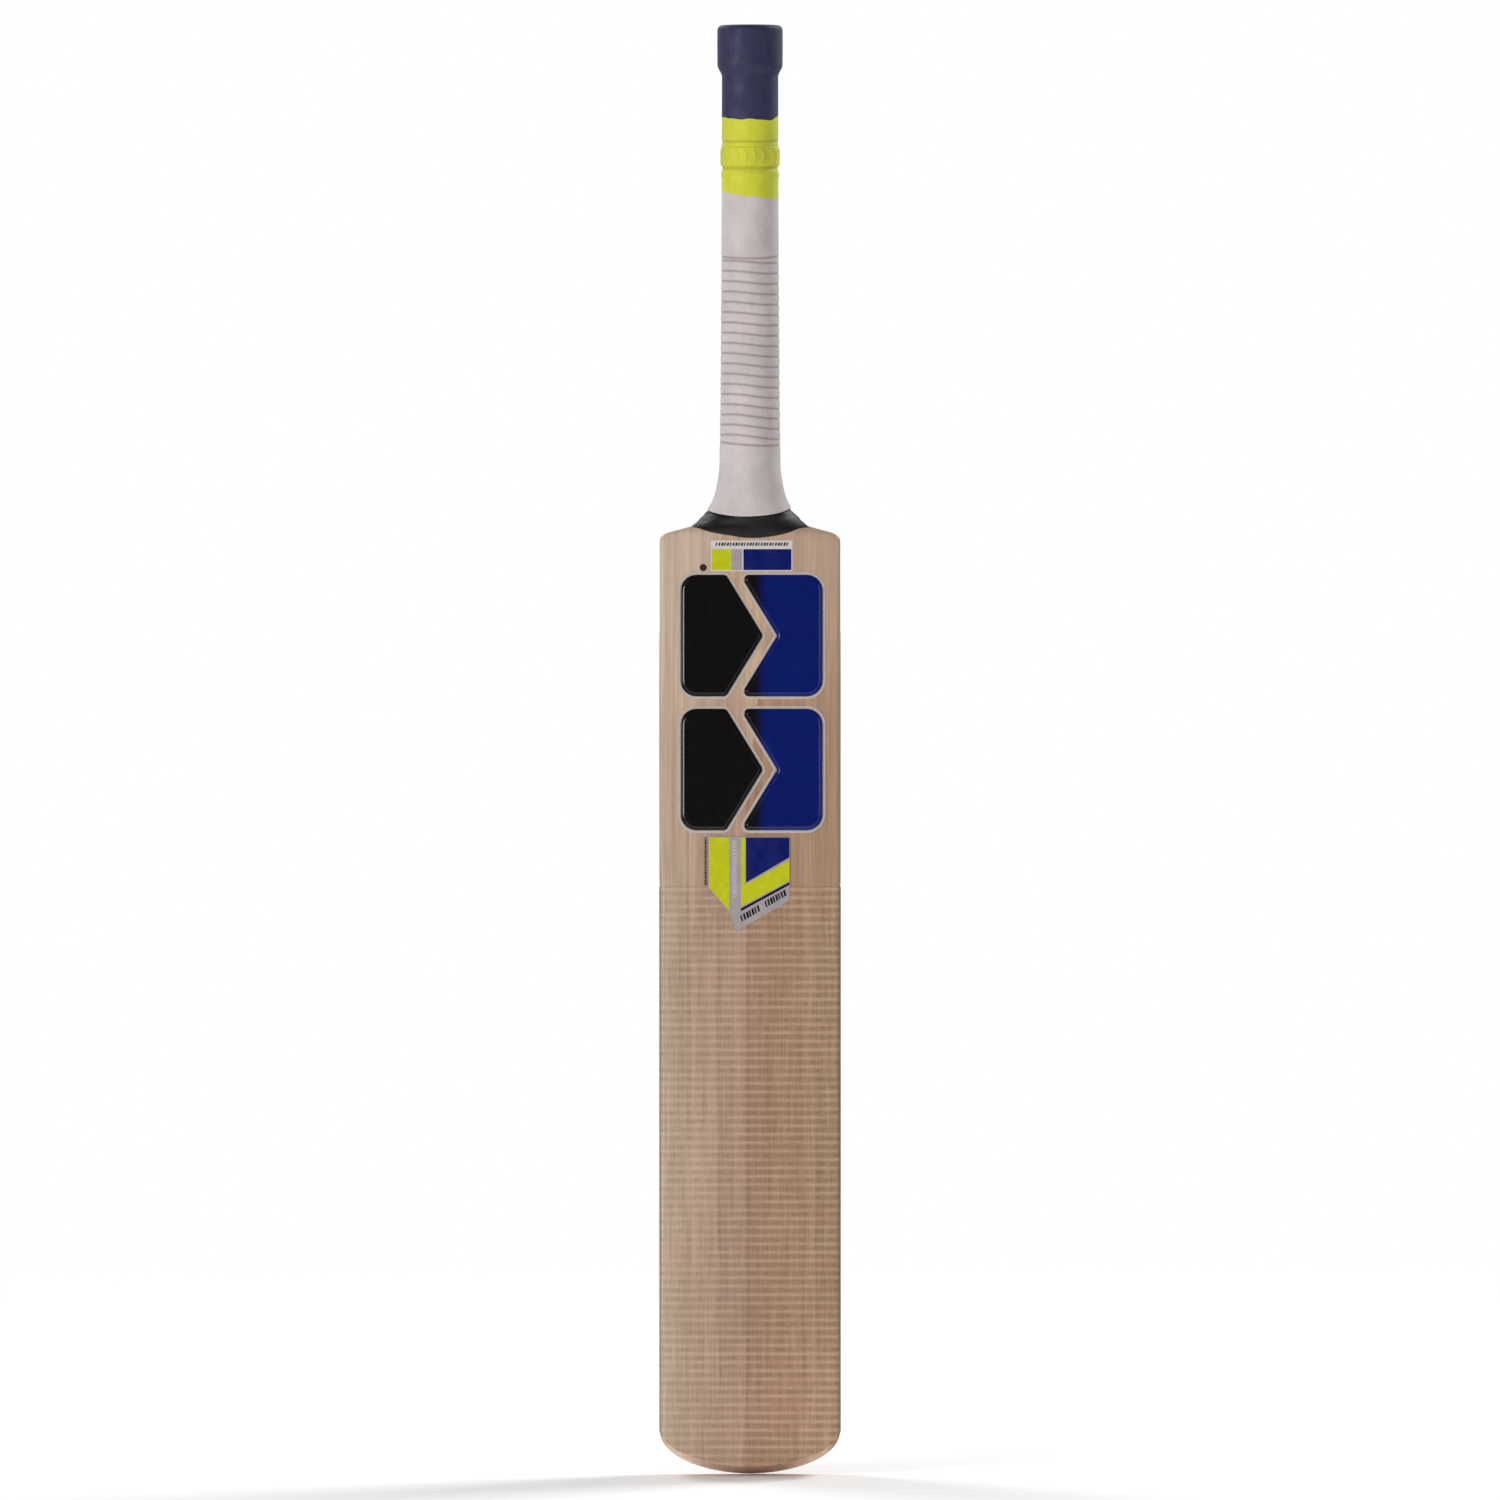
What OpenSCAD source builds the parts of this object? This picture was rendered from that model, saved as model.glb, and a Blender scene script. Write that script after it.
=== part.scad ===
// Cricket bat: a willow blade with a spliced cane handle, rubber grip, shoulder tape, face sheet and labels.
// Z runs up from the toe to the handle end. The striking face looks toward -Y and the spine toward +Y.
// Depths are measured back from the plane of the striking face at its middle.

/* [Blade] */
// Full width of the willow blade
blade_w = 107; // [104:0.5:108]
// Height that the toe's curve rises from its middle to the edges
toe_rise = 21.5; // [15:0.5:28]
// How much higher the toe sits at the face than at the back
toe_tilt = 5.5; // [0:0.5:8]
// How far the face falls back from its middle to its edges
face_crown = 0.8; // [0.2:0.1:1.5]
// Radius of the corner between face and edge
face_corner = 3; // [1.5:0.5:4]
// Radius of the corner between edge and back
back_corner = 5; // [3:0.5:6]
// Softness of the spine's ridge, as a part of the half width
ridge_soft = 0.12; // [0.05:0.01:0.3]

/* [Splice] */
// Height of the splice's point above the toe
splice_z = 428; // [415:1:450]
// Half width of the splice at the shoulders
splice_half = 15.4; // [14:0.1:16.5]

/* [Handle] */
// Length of the handle from its foot, level with the shoulders, to its end
handle_l = 283.6; // [270:0.1:300]
// Lean of the handle toward the face, in degrees
lean_deg = 2.3; // [1:0.1:3]
// Radius of the cane at the handle's end
cane_r_top = 14; // [13:0.1:14.3]
// Radius of the cane where the grip's flare begins
cane_r_low = 15.2; // [14.6:0.1:15.2]
// Thickness of each rubber spring
spring_t = 1.2; // [0.8:0.1:2]
// Distance between neighbouring rubber springs
spring_gap = 8.8; // [7:0.1:9.5]
// Half width of the middle row of cane strips
strip_half = 5.2; // [4:0.1:6]
// Thickness of the twine binding
twine_t = 0.8; // [0.5:0.1:0.8]

/* [Grip] */
// Radius of the knob at the top of the grip
knob_r = 19.3; // [18:0.1:21]
// Length of the knob
knob_l = 24; // [20:0.5:28]
// Spacing of the grooves in the sleeve
rib_pitch = 6.15; // [5:0.05:8]
// Number of grooves in the sleeve
rib_count = 18; // [4:1:18]
// Depth of each groove
rib_depth = 0.6; // [0.2:0.1:0.9]

/* [Coverings] */
// Height of the face sheet's upper edge
guard_top = 349; // [340:1:355]
// How far the face sheet wraps back over the edges
guard_wrap = 10; // [6:1:12]
// Thickness of the face sheet
guard_t = 0.25; // [0.2:0.05:0.3]
// Thickness of a printed label
label_t = 0.2; // [0.1:0.05:0.4]
// Thickness of a domed badge
badge_t = 1.3; // [0.8:0.1:2]
// Width of the slot that splits a badge
slot_w = 7; // [3:0.5:9]

/* [Hidden] */
$fn = 64;

half_w = blade_w / 2;
// Depth of the whole bat's middle, which sits over the origin
depth_mid = 26.2;
// The handle's own frame starts here
handle_foot = [0, 15.9, 576];

// Blade stations: height, then the depths of the face, the edge's back corner and the spine
STATIONS = [
  [0, -5.5, 21, 22.5], [30, -4.2, 26.5, 31.5], [60, -2.7, 32, 41], [90, -1.2, 36, 52],
  [120, -0.2, 38.8, 61], [150, 0, 39.5, 65.5], [185, 0, 40, 67], [230, 0, 39, 66],
  [290, -0.6, 35, 63], [350, -1.5, 28.5, 57.5], [410, -2.4, 22, 51], [470, -3.1, 16.5, 45],
  [530, -3.9, 11.5, 39], [560, -4, 10.5, 37], [568, -3.2, 14, 35.6], [573, -2.5, 16, 34.6],
  [580, -1.7, 17, 33.3], [590, -1.1, 17, 31.9], [602, -0.7, 17, 30.4]
];
// Shoulder rows: height, how far the outline has come in from the edge, and how round the section is
SHOULDER = [
  [549, 0, 0], [554.5, 0.1, 0], [556.6, 0.9, 0.03], [558.6, 3.5, 0.1], [561, 11, 0.35],
  [563.4, 18.5, 0.65], [568, 24.9, 1], [573, 30.1, 1], [580, 33.9, 1], [590, 36.5, 1],
  [602, 37.9, 1]
];
// Places of the lengthwise grid lines, as parts of the half width
INNER = [0.12, 0.24, 0.38, 0.54, 0.7, 0.84, 0.93, 1];
COLUMNS = concat([for (i = [len(INNER) - 1 : -1 : 0]) -INNER[i]], [0], INNER);
// Points on a ring, and the first and last of each stretch that carries a covering
RING = 48;
FACE_COLS = [0, 16];
RIGHT_WALL = [19, 22];
RIGHT_BACK = [22, 28];
BACK_COLS = [24, 40];
LEFT_BACK = [36, 42];
LEFT_WALL = [42, 45];
SHEET_COLS = [44, 68];
// Heights over which the toe's curve fades out of the rows, and where the shoulders begin
toe_fade = 60;
body_top = 549;
// Number of the last row at or below a height, and the rows that hold everything between two heights
function row_from(z) = len([for (r = ROWS) if (r[0] <= z) 1]) - 1;
function rows_over(low, high) = [row_from(low), row_from(high) + 1];

// Rows of the blade's grid: height, inset from the full section, half width and roundness
ROWS = concat(
  [[0, 3, half_w, 0], [0.9, 0.9, half_w, 0]],
  [for (z = [3, 9, 18, 30, 44]) [z, 0, half_w, 0]],
  [for (i = [0 : 13]) [toe_fade + i * (guard_top - toe_fade) / 14, 0, half_w, 0]],
  [for (i = [0 : 9]) [guard_top + i * (body_top - guard_top) / 10, 0, half_w, 0]],
  [for (s = SHOULDER) [s[0], 0, half_w - s[1], s[2]]]
);

// A smooth curve through column c of a table, read at height z
function span_of(t, z, i = 0) = i < len(t) - 2 && z > t[i + 1][0] ? span_of(t, z, i + 1) : i;
function slope_at(t, c, i) =
  let (a = max(i - 1, 0), b = min(i + 1, len(t) - 1)) (t[b][c] - t[a][c]) / (t[b][0] - t[a][0]);
function curve(t, c, z) =
  let (
    i = span_of(t, z), h = t[i + 1][0] - t[i][0], u = (z - t[i][0]) / h,
    low = t[i][c], high = t[i + 1][c], m0 = slope_at(t, c, i) * h, m1 = slope_at(t, c, i + 1) * h
  )
  (2 * u ^ 3 - 3 * u ^ 2 + 1) * low + (u ^ 3 - 2 * u ^ 2 + u) * m0
  + (3 * u ^ 2 - 2 * u ^ 3) * high + (u ^ 3 - u ^ 2) * m1;

// Height of the back between edge (0) and spine (1), across the half width t
function ridge(t) =
  let (top = sqrt(1 + ridge_soft ^ 2)) (top - sqrt(t ^ 2 + ridge_soft ^ 2)) / (top - ridge_soft);

// One section of the blade, as [x, depth] points that run counterclockwise from the face's left end
function section(z, inset, hw) =
  let (
    w = hw - inset, f = curve(STATIONS, 1, z) + inset, e = curve(STATIONS, 2, z) - inset,
    s = curve(STATIONS, 3, z) - inset, rf = max(face_corner - inset, 0.5),
    rb = max(back_corner - inset, 0.5), wf = w - rf, wb = w - rb,
    cf = f + face_crown + rf, cb = e - rb, wall = f + min(guard_wrap, (e - f) / 2)
  )
  concat(
    [for (t = COLUMNS) [t * wf, f + face_crown * t ^ 4]],
    [for (a = [-60, -30, 0]) [wf + rf * cos(a), cf + rf * sin(a)]],
    [[w, wall], [w, cb]],
    [for (a = [30, 60]) [wb + rb * cos(a), cb + rb * sin(a)]],
    [for (t = COLUMNS) [-t * wb, e + (s - e) * ridge(t)]],
    [for (a = [120, 150]) [-wb + rb * cos(a), cb + rb * sin(a)]],
    [[-w, cb], [-w, wall]],
    [for (a = [180, 210, 240]) [-wf + rf * cos(a), cf + rf * sin(a)]]
  );

// The same section drawn toward the neck's oval, point by point
function neck_point(p, z, inset, hw, round) =
  let (
    f = curve(STATIONS, 1, z) + inset, s = curve(STATIONS, 3, z) - inset,
    mid = (f + s) / 2, deep = (s - f) / 2, w = hw - inset,
    a = atan2((p[1] - mid) / deep, p[0] / w)
  )
  [p[0] + (w * cos(a) - p[0]) * round, p[1] + (mid + deep * sin(a) - p[1]) * round];

// One row of the grid in space: the toe's curve and tilt lift the lowest rows
function row_points(row, grow = 0) =
  let (
    z = row[0], inset = row[1] - grow, hw = row[2], fade = max(0, 1 - z / toe_fade),
    flat = section(z, inset, hw), w = hw - inset,
    f = curve(STATIONS, 1, z) + inset, s = curve(STATIONS, 3, z) - inset
  )
  [for (j = [0 : RING - 1])
    let (
      p = flat[j],
      lift = fade * (toe_rise * (1 - sqrt(max(0, 1 - (p[0] / w) ^ 2)))
        + toe_tilt * (s - p[1]) / (s - f)),
      q = lift > 0 ? section(z + lift, inset, hw)[j] : neck_point(p, z, inset, hw, row[3])
    )
    [q[0], q[1], z + lift]];

// Two triangles of the grid between rows r, r + 1 and columns c, d, facing out
function cell_faces(base, r, c, d, flip = false) =
  let (a = base + r * RING + c, b = base + r * RING + d)
  flip ? [[a, b + RING, a + RING], [a, b, b + RING]]
       : [[a, a + RING, b + RING], [a, b + RING, b]];

// End cap of a closed row, as a strip between the face half and the back half
FACE_HALF = concat([for (j = [44 : 47]) j], [for (j = [0 : 20]) j]);
BACK_HALF = [for (j = [44 : -1 : 20]) j];
function cap_faces(base, top) = [for (i = [0 : len(FACE_HALF) - 2])
  let (
    a = base + FACE_HALF[i], b = base + FACE_HALF[i + 1],
    c = base + BACK_HALF[i + 1], d = base + BACK_HALF[i],
    corners = a == d ? [a, b, c] : b == c ? [a, b, d] : [a, b, c, d]
  )
  each len(corners) == 3 ? [top ? [corners[0], corners[2], corners[1]] : corners]
    : top ? [[a, c, b], [a, d, c]] : [[a, b, c], [a, c, d]]];

// The willow's whole outside, from row number `first` up to the neck
module blank(first = 0) {
  rows = [for (i = [first : len(ROWS) - 1]) ROWS[i]];
  last = len(rows) - 1;
  polyhedron(
    points = [for (r = rows) each row_points(r)],
    faces = concat(
      [for (r = [0 : last - 1], c = [0 : RING - 1]) each cell_faces(0, r, c, (c + 1) % RING)],
      cap_faces(0, false), cap_faces(last * RING, true)
    )
  );
}

// A skin that follows the blade between two rows and two columns, `gap` off it and `thick` through
module skin(rows, cols, gap, thick) {
  band = [for (i = [rows[0] : rows[1]]) ROWS[i]];
  last = len(band) - 1;
  span = cols[1] - cols[0];
  inside = len(band) * RING;
  left = cols[0];
  right = cols[0] + span;
  function at(sheet, r, c) = sheet * inside + r * RING + c % RING;
  polyhedron(
    points = concat(
      [for (r = band) each row_points(r, gap + thick)],
      [for (r = band) each row_points(r, gap)]
    ),
    faces = concat(
      [for (r = [0 : last - 1], c = [left : right - 1])
        each cell_faces(0, r, c % RING, (c + 1) % RING)],
      [for (r = [0 : last - 1], c = [left : right - 1])
        each cell_faces(inside, r, c % RING, (c + 1) % RING, true)],
      [for (c = [left : right - 1])
        each [[at(0, 0, c), at(0, 0, c + 1), at(1, 0, c + 1)],
              [at(0, 0, c), at(1, 0, c + 1), at(1, 0, c)]]],
      [for (c = [left : right - 1])
        each [[at(0, last, c), at(1, last, c + 1), at(0, last, c + 1)],
              [at(0, last, c), at(1, last, c), at(1, last, c + 1)]]],
      span == RING ? [] : [for (r = [0 : last - 1])
        each [[at(0, r, left), at(1, r + 1, left), at(0, r + 1, left)],
              [at(0, r, left), at(1, r, left), at(1, r + 1, left)],
              [at(0, r, right), at(0, r + 1, right), at(1, r + 1, right)],
              [at(0, r, right), at(1, r + 1, right), at(1, r, right)]]]
    )
  );
}

// Moves a piece so that the bat's middle depth is over the origin
module placed() { translate([0, -depth_mid, 0]) children(); }

// Moves a piece drawn along Z into the handle's leaning frame
module leaned() { translate(handle_foot) rotate([lean_deg, 0, 0]) children(); }

// A flat outline drawn in X and Z, cut right through the bat's depth, `centre` high
cut_reach = 120;
module through(centre = 0) {
  translate([0, cut_reach, centre]) rotate([90, 0, 0]) linear_extrude(2 * cut_reach) children();
}

// ---------- Splice and cane ----------
below_splice = 25;
upper_row = row_from(splice_z - below_splice);
shoulder_z = 556;
neck_z = 602;
splice_run = (shoulder_z - splice_z) / splice_half;
splice_tip = 0.7;

// The wedge that the cane fills in the willow
module wedge_outline() {
  over = 10;
  high = neck_z + over;
  reach = (high - splice_z) / splice_run;
  polygon([[-splice_tip, splice_z], [splice_tip, splice_z], [reach, high], [-reach, high]]);
}

module blade() {
  placed() color("burlywood") difference() {
    blank();
    through() wedge_outline();
  }
}

shaft_from = 22;
cell_low = -170;
cell_far = 60;
slab_at = [-cell_far, -spring_gap, 0, spring_gap, cell_far];
strip_at = [-cell_far, -strip_half, strip_half, cell_far];

// A long box in the handle's frame between two x and two y
module long_box(x0, x1, y0, y1) {
  leaned() translate([x0, y0, cell_low]) cube([x1 - x0, y1 - y0, handle_l - cell_low]);
}

// The cane shaft above the neck and the wedge below it, cut to one long box
module core(x0, x1, y0, y1) {
  placed() union() {
    intersection() {
      leaned() translate([0, 0, shaft_from])
        cylinder(r1 = cane_r_low, r2 = cane_r_top, h = handle_l - shaft_from);
      long_box(x0, x1, y0, y1);
    }
    intersection() {
      blank(upper_row);
      intersection() {
        through() wedge_outline();
        long_box(x0, x1, y0, y1);
      }
    }
  }
}

// One cane strip: slab 0 is nearest the face, strip 0 is nearest -X
module cane(slab, strip) {
  near = slab == 0 ? 0 : spring_t / 2;
  far = slab == 3 ? 0 : spring_t / 2;
  color(strip == 1 ? "wheat" : "tan")
    core(strip_at[strip], strip_at[strip + 1], slab_at[slab] + near, slab_at[slab + 1] - far);
}

// One rubber spring between two slabs of cane
module rubber_spring(n) {
  mid = (n - 1) * spring_gap;
  color("saddlebrown") core(-cell_far, cell_far, mid - spring_t / 2, mid + spring_t / 2);
}

// Radius of the cane at height z in the handle's frame
function cane_r(z) =
  cane_r_low + (cane_r_top - cane_r_low) * (z - shaft_from) / (handle_l - shaft_from);

// ---------- Binding and grip, in the handle's frame ----------
twine_low = 28.5;
lip_l = 5;
twine_high = handle_l - lip_l - 2;
grip_low = 27.5;
grip_end = handle_l - 1.2;
sleeve_high = 185;
band_high = 230.5;
fit = 0.05;

module twine_binding() {
  placed() color("ivory") leaned() rotate_extrude() polygon([
    [cane_r(twine_low) + fit, twine_low], [cane_r(twine_low) + twine_t, twine_low],
    [cane_r(twine_high) + twine_t, twine_high], [cane_r(twine_high) + fit, twine_high]
  ]);
}

// Bore of the grip and radius of its outside at height z
function bore(z) = cane_r(z) + twine_t + fit;
function grip_r(z) = lookup(z, [[27.5, 18.4], [61, 17.9], [119, 17.2], [177, 16.8], [250, 16.7]]);

module grip_top() {
  knob_low = grip_end - knob_l;
  taper = 5;
  soft = 2;
  edge = 3;
  lip = grip_end - lip_l;
  placed() color("midnightblue") leaned() rotate_extrude() polygon(concat(
    [[bore(band_high), band_high], [grip_r(band_high), band_high],
     [grip_r(knob_low), knob_low - taper], [knob_r, knob_low + soft]],
    [for (a = [0 : 30 : 90]) [knob_r - edge + edge * cos(a), grip_end - edge + edge * sin(a)]],
    [[cane_r(grip_end) + fit, grip_end], [cane_r(lip) + fit, lip], [bore(lip), lip]]
  ));
}

// Mould lines of the lime band, from the bump below its ring up: height, and how far they stand out
BAND_LINES = [
  [194, 0], [195.5, 0.3], [197.5, 0.3], [199, -0.5], [201, 0.6], [211, 0.6], [212, 0], [215, -0.5],
  [217, 0]
];
module grip_band() {
  placed() color("greenyellow") leaned() rotate_extrude() polygon(concat(
    [[bore(sleeve_high), sleeve_high], [grip_r(sleeve_high), sleeve_high]],
    [for (p = BAND_LINES) [grip_r(p[0]) + p[1], p[0]]],
    [[grip_r(band_high), band_high], [bore(band_high), band_high]]
  ));
}

// Neck of the blade at height z: half width, middle depth and half depth
function neck_w(z) = half_w - lookup(z, [for (s = SHOULDER) [s[0], s[1]]]);
function neck_mid(z) = lookup(z, [for (s = STATIONS) [s[0], (s[1] + s[3]) / 2]]);
function neck_deep(z) = lookup(z, [for (s = STATIONS) [s[0], (s[3] - s[1]) / 2]]);

// The flared skirt that joins the round sleeve to the shoulders
module grip_flare() {
  sides = 40;
  rings = 9;
  skirt_low = 567.9;
  skirt_lift = 4.8;
  skirt_high = 605;
  clear = 0.9;
  wall = 1.45;
  function wall_point(i, k, out) =
    let (
      a = 360 * k / sides, low = skirt_low + skirt_lift * abs(cos(a)) ^ 2.6,
      z = low + (skirt_high - low) * (i / (rings - 1)) ^ 1.3, zn = min(z, neck_z)
    )
    [(neck_w(zn) + out) * cos(a), neck_mid(zn) + (neck_deep(zn) + out) * sin(a), z];
  function at(sheet, i, k) = (sheet * rings + i) * sides + k % sides;
  polyhedron(
    points = [for (out = [clear + wall, clear], i = [0 : rings - 1], k = [0 : sides - 1])
      wall_point(i, k, out)],
    faces = concat(
      [for (i = [0 : rings - 2], k = [0 : sides - 1]) each
        [[at(0, i, k), at(0, i + 1, k), at(0, i + 1, k + 1)],
         [at(0, i, k), at(0, i + 1, k + 1), at(0, i, k + 1)],
         [at(1, i, k), at(1, i + 1, k + 1), at(1, i + 1, k)],
         [at(1, i, k), at(1, i, k + 1), at(1, i + 1, k + 1)]]],
      [for (k = [0 : sides - 1]) each
        [[at(0, 0, k), at(0, 0, k + 1), at(1, 0, k + 1)],
         [at(0, 0, k), at(1, 0, k + 1), at(1, 0, k)],
         [at(0, rings - 1, k), at(1, rings - 1, k + 1), at(0, rings - 1, k + 1)],
         [at(0, rings - 1, k), at(1, rings - 1, k), at(1, rings - 1, k + 1)]]]
    )
  );
}

module grip_sleeve() {
  rib_low = 39;
  half_groove = 0.9;
  placed() color("silver") union() {
    leaned() rotate_extrude() polygon(concat(
      [[bore(grip_low), grip_low], [grip_r(grip_low), grip_low]],
      [for (i = [0 : rib_count - 1]) let (z = rib_low + i * rib_pitch) each [
        [grip_r(z), z - half_groove], [grip_r(z) - rib_depth, z], [grip_r(z), z + half_groove]]],
      [[grip_r(sleeve_high), sleeve_high], [bore(sleeve_high), sleeve_high]]
    ));
    grip_flare();
  }
}

// ---------- Tape and face sheet ----------
module shoulder_tape() {
  tape_low = 555.4;
  tape_bow = 74;
  tape_gap = 0.15;
  tape_t = 0.6;
  tape_high = 580;
  band = [row_from(body_top), row_from(tape_high)];
  placed() color("black") intersection() {
    skin(band, [0, RING], tape_gap, tape_t);
    through(tape_low + tape_bow) circle(tape_bow);
  }
}

module face_sheet() {
  placed() color("moccasin")
    skin([1, row_from(guard_top)], SHEET_COLS, fit, guard_t);
}

// ---------- Badges ----------
// Each side's badges: middle in X, heights of the two lower edges, size
FRONT_BADGE = [0.9, [461.7, 382.4], [84.2, 72]];
BACK_BADGE = [0.4, [450.7, 362.6], [85, 79.8]];
// Radius of a badge's outer corners, and how far its slot's point reaches
badge_round = 9.5;
chevron = 11;

module rounded(size, r) { offset(r) offset(-r) square(size); }

// One half of a rounded block that a chevron slot splits, its point toward +X
module half_block(size, r, reach, slot, right) {
  half = size[1] / 2;
  shift = (right ? 1 : -1) * slot / 2 * norm([half, 2 * reach]) / half;
  mid = size[0] / 2 + shift;
  side = right ? size[0] + 1 : -1;
  intersection() {
    rounded(size, r);
    polygon([[side, -1], [mid - reach, -1], [mid + reach, half],
             [mid - reach, size[1] + 1], [side, size[1] + 1]]);
  }
}

// Half of a badge: n is 0 for the upper and 1 for the lower, and the blue half is toward +X
module badge(spec, n, back, blue) {
  low = spec[1][n];
  size = spec[2];
  placed() color(blue ? "mediumblue" : "black") intersection() {
    skin(rows_over(low, low + size[1]), back ? BACK_COLS : FACE_COLS, fit, badge_t);
    through() translate([spec[0] - size[0] / 2, low])
      half_block(size, badge_round, chevron, slot_w, blue);
  }
}

// ---------- Labels ----------
// Outlines as [x, height] on the face and the back, and as [depth, height] on an edge
FRONT_TOP = [[-22.8, 536.3], [25.2, 536.3], [25.2, 553.8], [-22.8, 553.8]];
FRONT_LOWER = [[-24.8, 378.6], [23.5, 378.6], [23.5, 340.8], [-8.4, 322.3], [-12, 333.3],
               [-24.8, 348.4]];
BACK_TOP = [[-25.9, 534.3], [6.6, 534.3], [6.6, 553.8], [-25.9, 553.8]];
BACK_LOWER = [[25.9, 358.8], [-27, 358.8], [-27, 291], [-23.8, 284.5], [2, 306.6], [6.7, 302.2],
              [13.1, 296], [25.9, 285]];
BACK_EDGE = [[51, 253], [42.6, 246], [41.3, 213.6], [32.2, 196], [39.1, 143.8], [42.5, 110.7],
             [47, 61], [51, 61]];
EDGE = [[0.8, 500], [11.6, 460], [17, 408], [13.3, 393.6], [11.6, 357], [6.4, 350.5],
        [4.6, 398]];
TOE = [[-34.9, 17], [34.9, 17], [34.9, 58], [0, 70.6], [-34.9, 58]];
hologram_at = [8.9, 534.3];
hologram_size = [17.8, 19.8];

// Gap between a covering and the one that it lies on
stack_gap = 0.03;

// Rows of the blade's grid that an outline of [x, height] points needs
function rows_of(outline) =
  let (heights = [for (p = outline) p[1]]) rows_over(min(heights), max(heights));

// A printed label cut from the blade's skin
module label(outline, cols, gap = fit) {
  placed() intersection() {
    skin(rows_of(outline), cols, gap, label_t);
    through() polygon(outline);
  }
}
module front_top_label() { color("gainsboro") label(FRONT_TOP, FACE_COLS); }
module front_lower_label() {
  color("yellowgreen") label(FRONT_LOWER, FACE_COLS, fit + guard_t + stack_gap);
}
module back_top_label() { color("gainsboro") label(BACK_TOP, BACK_COLS); }
module back_lower_label() { color("yellowgreen") label(BACK_LOWER, BACK_COLS); }
module hologram_label() {
  low = hologram_at[1];
  corner_r = 2;
  placed() color("lightsteelblue") intersection() {
    skin(rows_over(low, low + hologram_size[1]), BACK_COLS, fit, label_t);
    through() translate(hologram_at) rounded(hologram_size, corner_r);
  }
}

// A label on the back beside one edge, wrapped onto the corner
module back_edge_label(right) {
  color("dimgray") if (right) label(BACK_EDGE, RIGHT_BACK);
  else label([for (p = BACK_EDGE) [-p[0], p[1]]], LEFT_BACK);
}

// A label on the flat of one edge
module edge_label(right) {
  placed() color("dimgray") intersection() {
    skin(rows_of(EDGE), right ? RIGHT_WALL : LEFT_WALL, fit, label_t);
    rotate([90, 0, 90]) linear_extrude(2 * cut_reach, center = true) polygon(EDGE);
  }
}

// The label near the toe, and half of one of the two raised blocks on it
module toe_label() { color("midnightblue") label(TOE, BACK_COLS); }
module toe_badge(x, right) {
  size = [27, 24.5];
  low = 24.7;
  corner_r = 4;
  reach = 4;
  slot = 2.2;
  thick = 0.8;
  placed() color("silver") intersection() {
    skin(rows_over(low, low + size[1]), BACK_COLS, fit + label_t + stack_gap, thick);
    through() translate([x, low]) half_block(size, corner_r, reach, slot, right);
  }
}

blade();
cane(0, 0);  // cane_front_left
cane(0, 1);  // cane_front_middle
cane(0, 2);  // cane_front_right
cane(1, 0);  // cane_midfront_left
cane(1, 1);  // cane_midfront_middle
cane(1, 2);  // cane_midfront_right
cane(2, 0);  // cane_midback_left
cane(2, 1);  // cane_midback_middle
cane(2, 2);  // cane_midback_right
cane(3, 0);  // cane_back_left
cane(3, 1);  // cane_back_middle
cane(3, 2);  // cane_back_right
rubber_spring(0);  // rubber_spring_front
rubber_spring(1);  // rubber_spring_middle
rubber_spring(2);  // rubber_spring_back
twine_binding();
grip_top();
grip_band();
grip_sleeve();
shoulder_tape();
face_sheet();
badge(FRONT_BADGE, 0, false, false);  // front_badge_upper_black
badge(FRONT_BADGE, 0, false, true);  // front_badge_upper_blue
badge(FRONT_BADGE, 1, false, false);  // front_badge_lower_black
badge(FRONT_BADGE, 1, false, true);  // front_badge_lower_blue
badge(BACK_BADGE, 0, true, false);  // back_badge_upper_black
badge(BACK_BADGE, 0, true, true);  // back_badge_upper_blue
badge(BACK_BADGE, 1, true, false);  // back_badge_lower_black
badge(BACK_BADGE, 1, true, true);  // back_badge_lower_blue
front_top_label();
front_lower_label();
back_top_label();
back_lower_label();
hologram_label();
edge_label(false);  // edge_label_left
edge_label(true);  // edge_label_right
back_edge_label(false);  // back_edge_label_left
back_edge_label(true);  // back_edge_label_right
toe_label();
toe_badge(-28.1, false);  // toe_badge_left_outer
toe_badge(-28.1, true);  // toe_badge_left_inner
toe_badge(1.1, false);  // toe_badge_right_inner
toe_badge(1.1, true);  // toe_badge_right_outer
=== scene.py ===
"""Cricket bat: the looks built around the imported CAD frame.

Shapes are worked out in millimetres and become metres when a mesh is made. "Depth" is measured
back from the striking face, and world Y is depth - DEPTH_MID. Heights are world Z.
"""

import math

import bmesh
import bpy
import numpy as np
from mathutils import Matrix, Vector


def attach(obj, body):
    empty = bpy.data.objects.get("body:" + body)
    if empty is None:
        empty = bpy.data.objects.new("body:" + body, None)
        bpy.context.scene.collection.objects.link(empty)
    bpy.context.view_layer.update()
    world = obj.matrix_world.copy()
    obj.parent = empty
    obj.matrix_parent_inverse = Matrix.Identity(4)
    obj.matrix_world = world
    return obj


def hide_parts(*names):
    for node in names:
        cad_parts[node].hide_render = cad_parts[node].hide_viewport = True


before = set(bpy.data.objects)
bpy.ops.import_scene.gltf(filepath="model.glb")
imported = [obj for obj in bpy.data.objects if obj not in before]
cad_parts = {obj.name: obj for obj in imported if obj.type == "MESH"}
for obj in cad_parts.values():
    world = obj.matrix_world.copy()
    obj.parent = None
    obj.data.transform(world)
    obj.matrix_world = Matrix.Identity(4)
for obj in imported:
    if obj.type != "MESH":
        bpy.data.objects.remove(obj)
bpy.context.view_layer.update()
MM = 0.001

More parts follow.
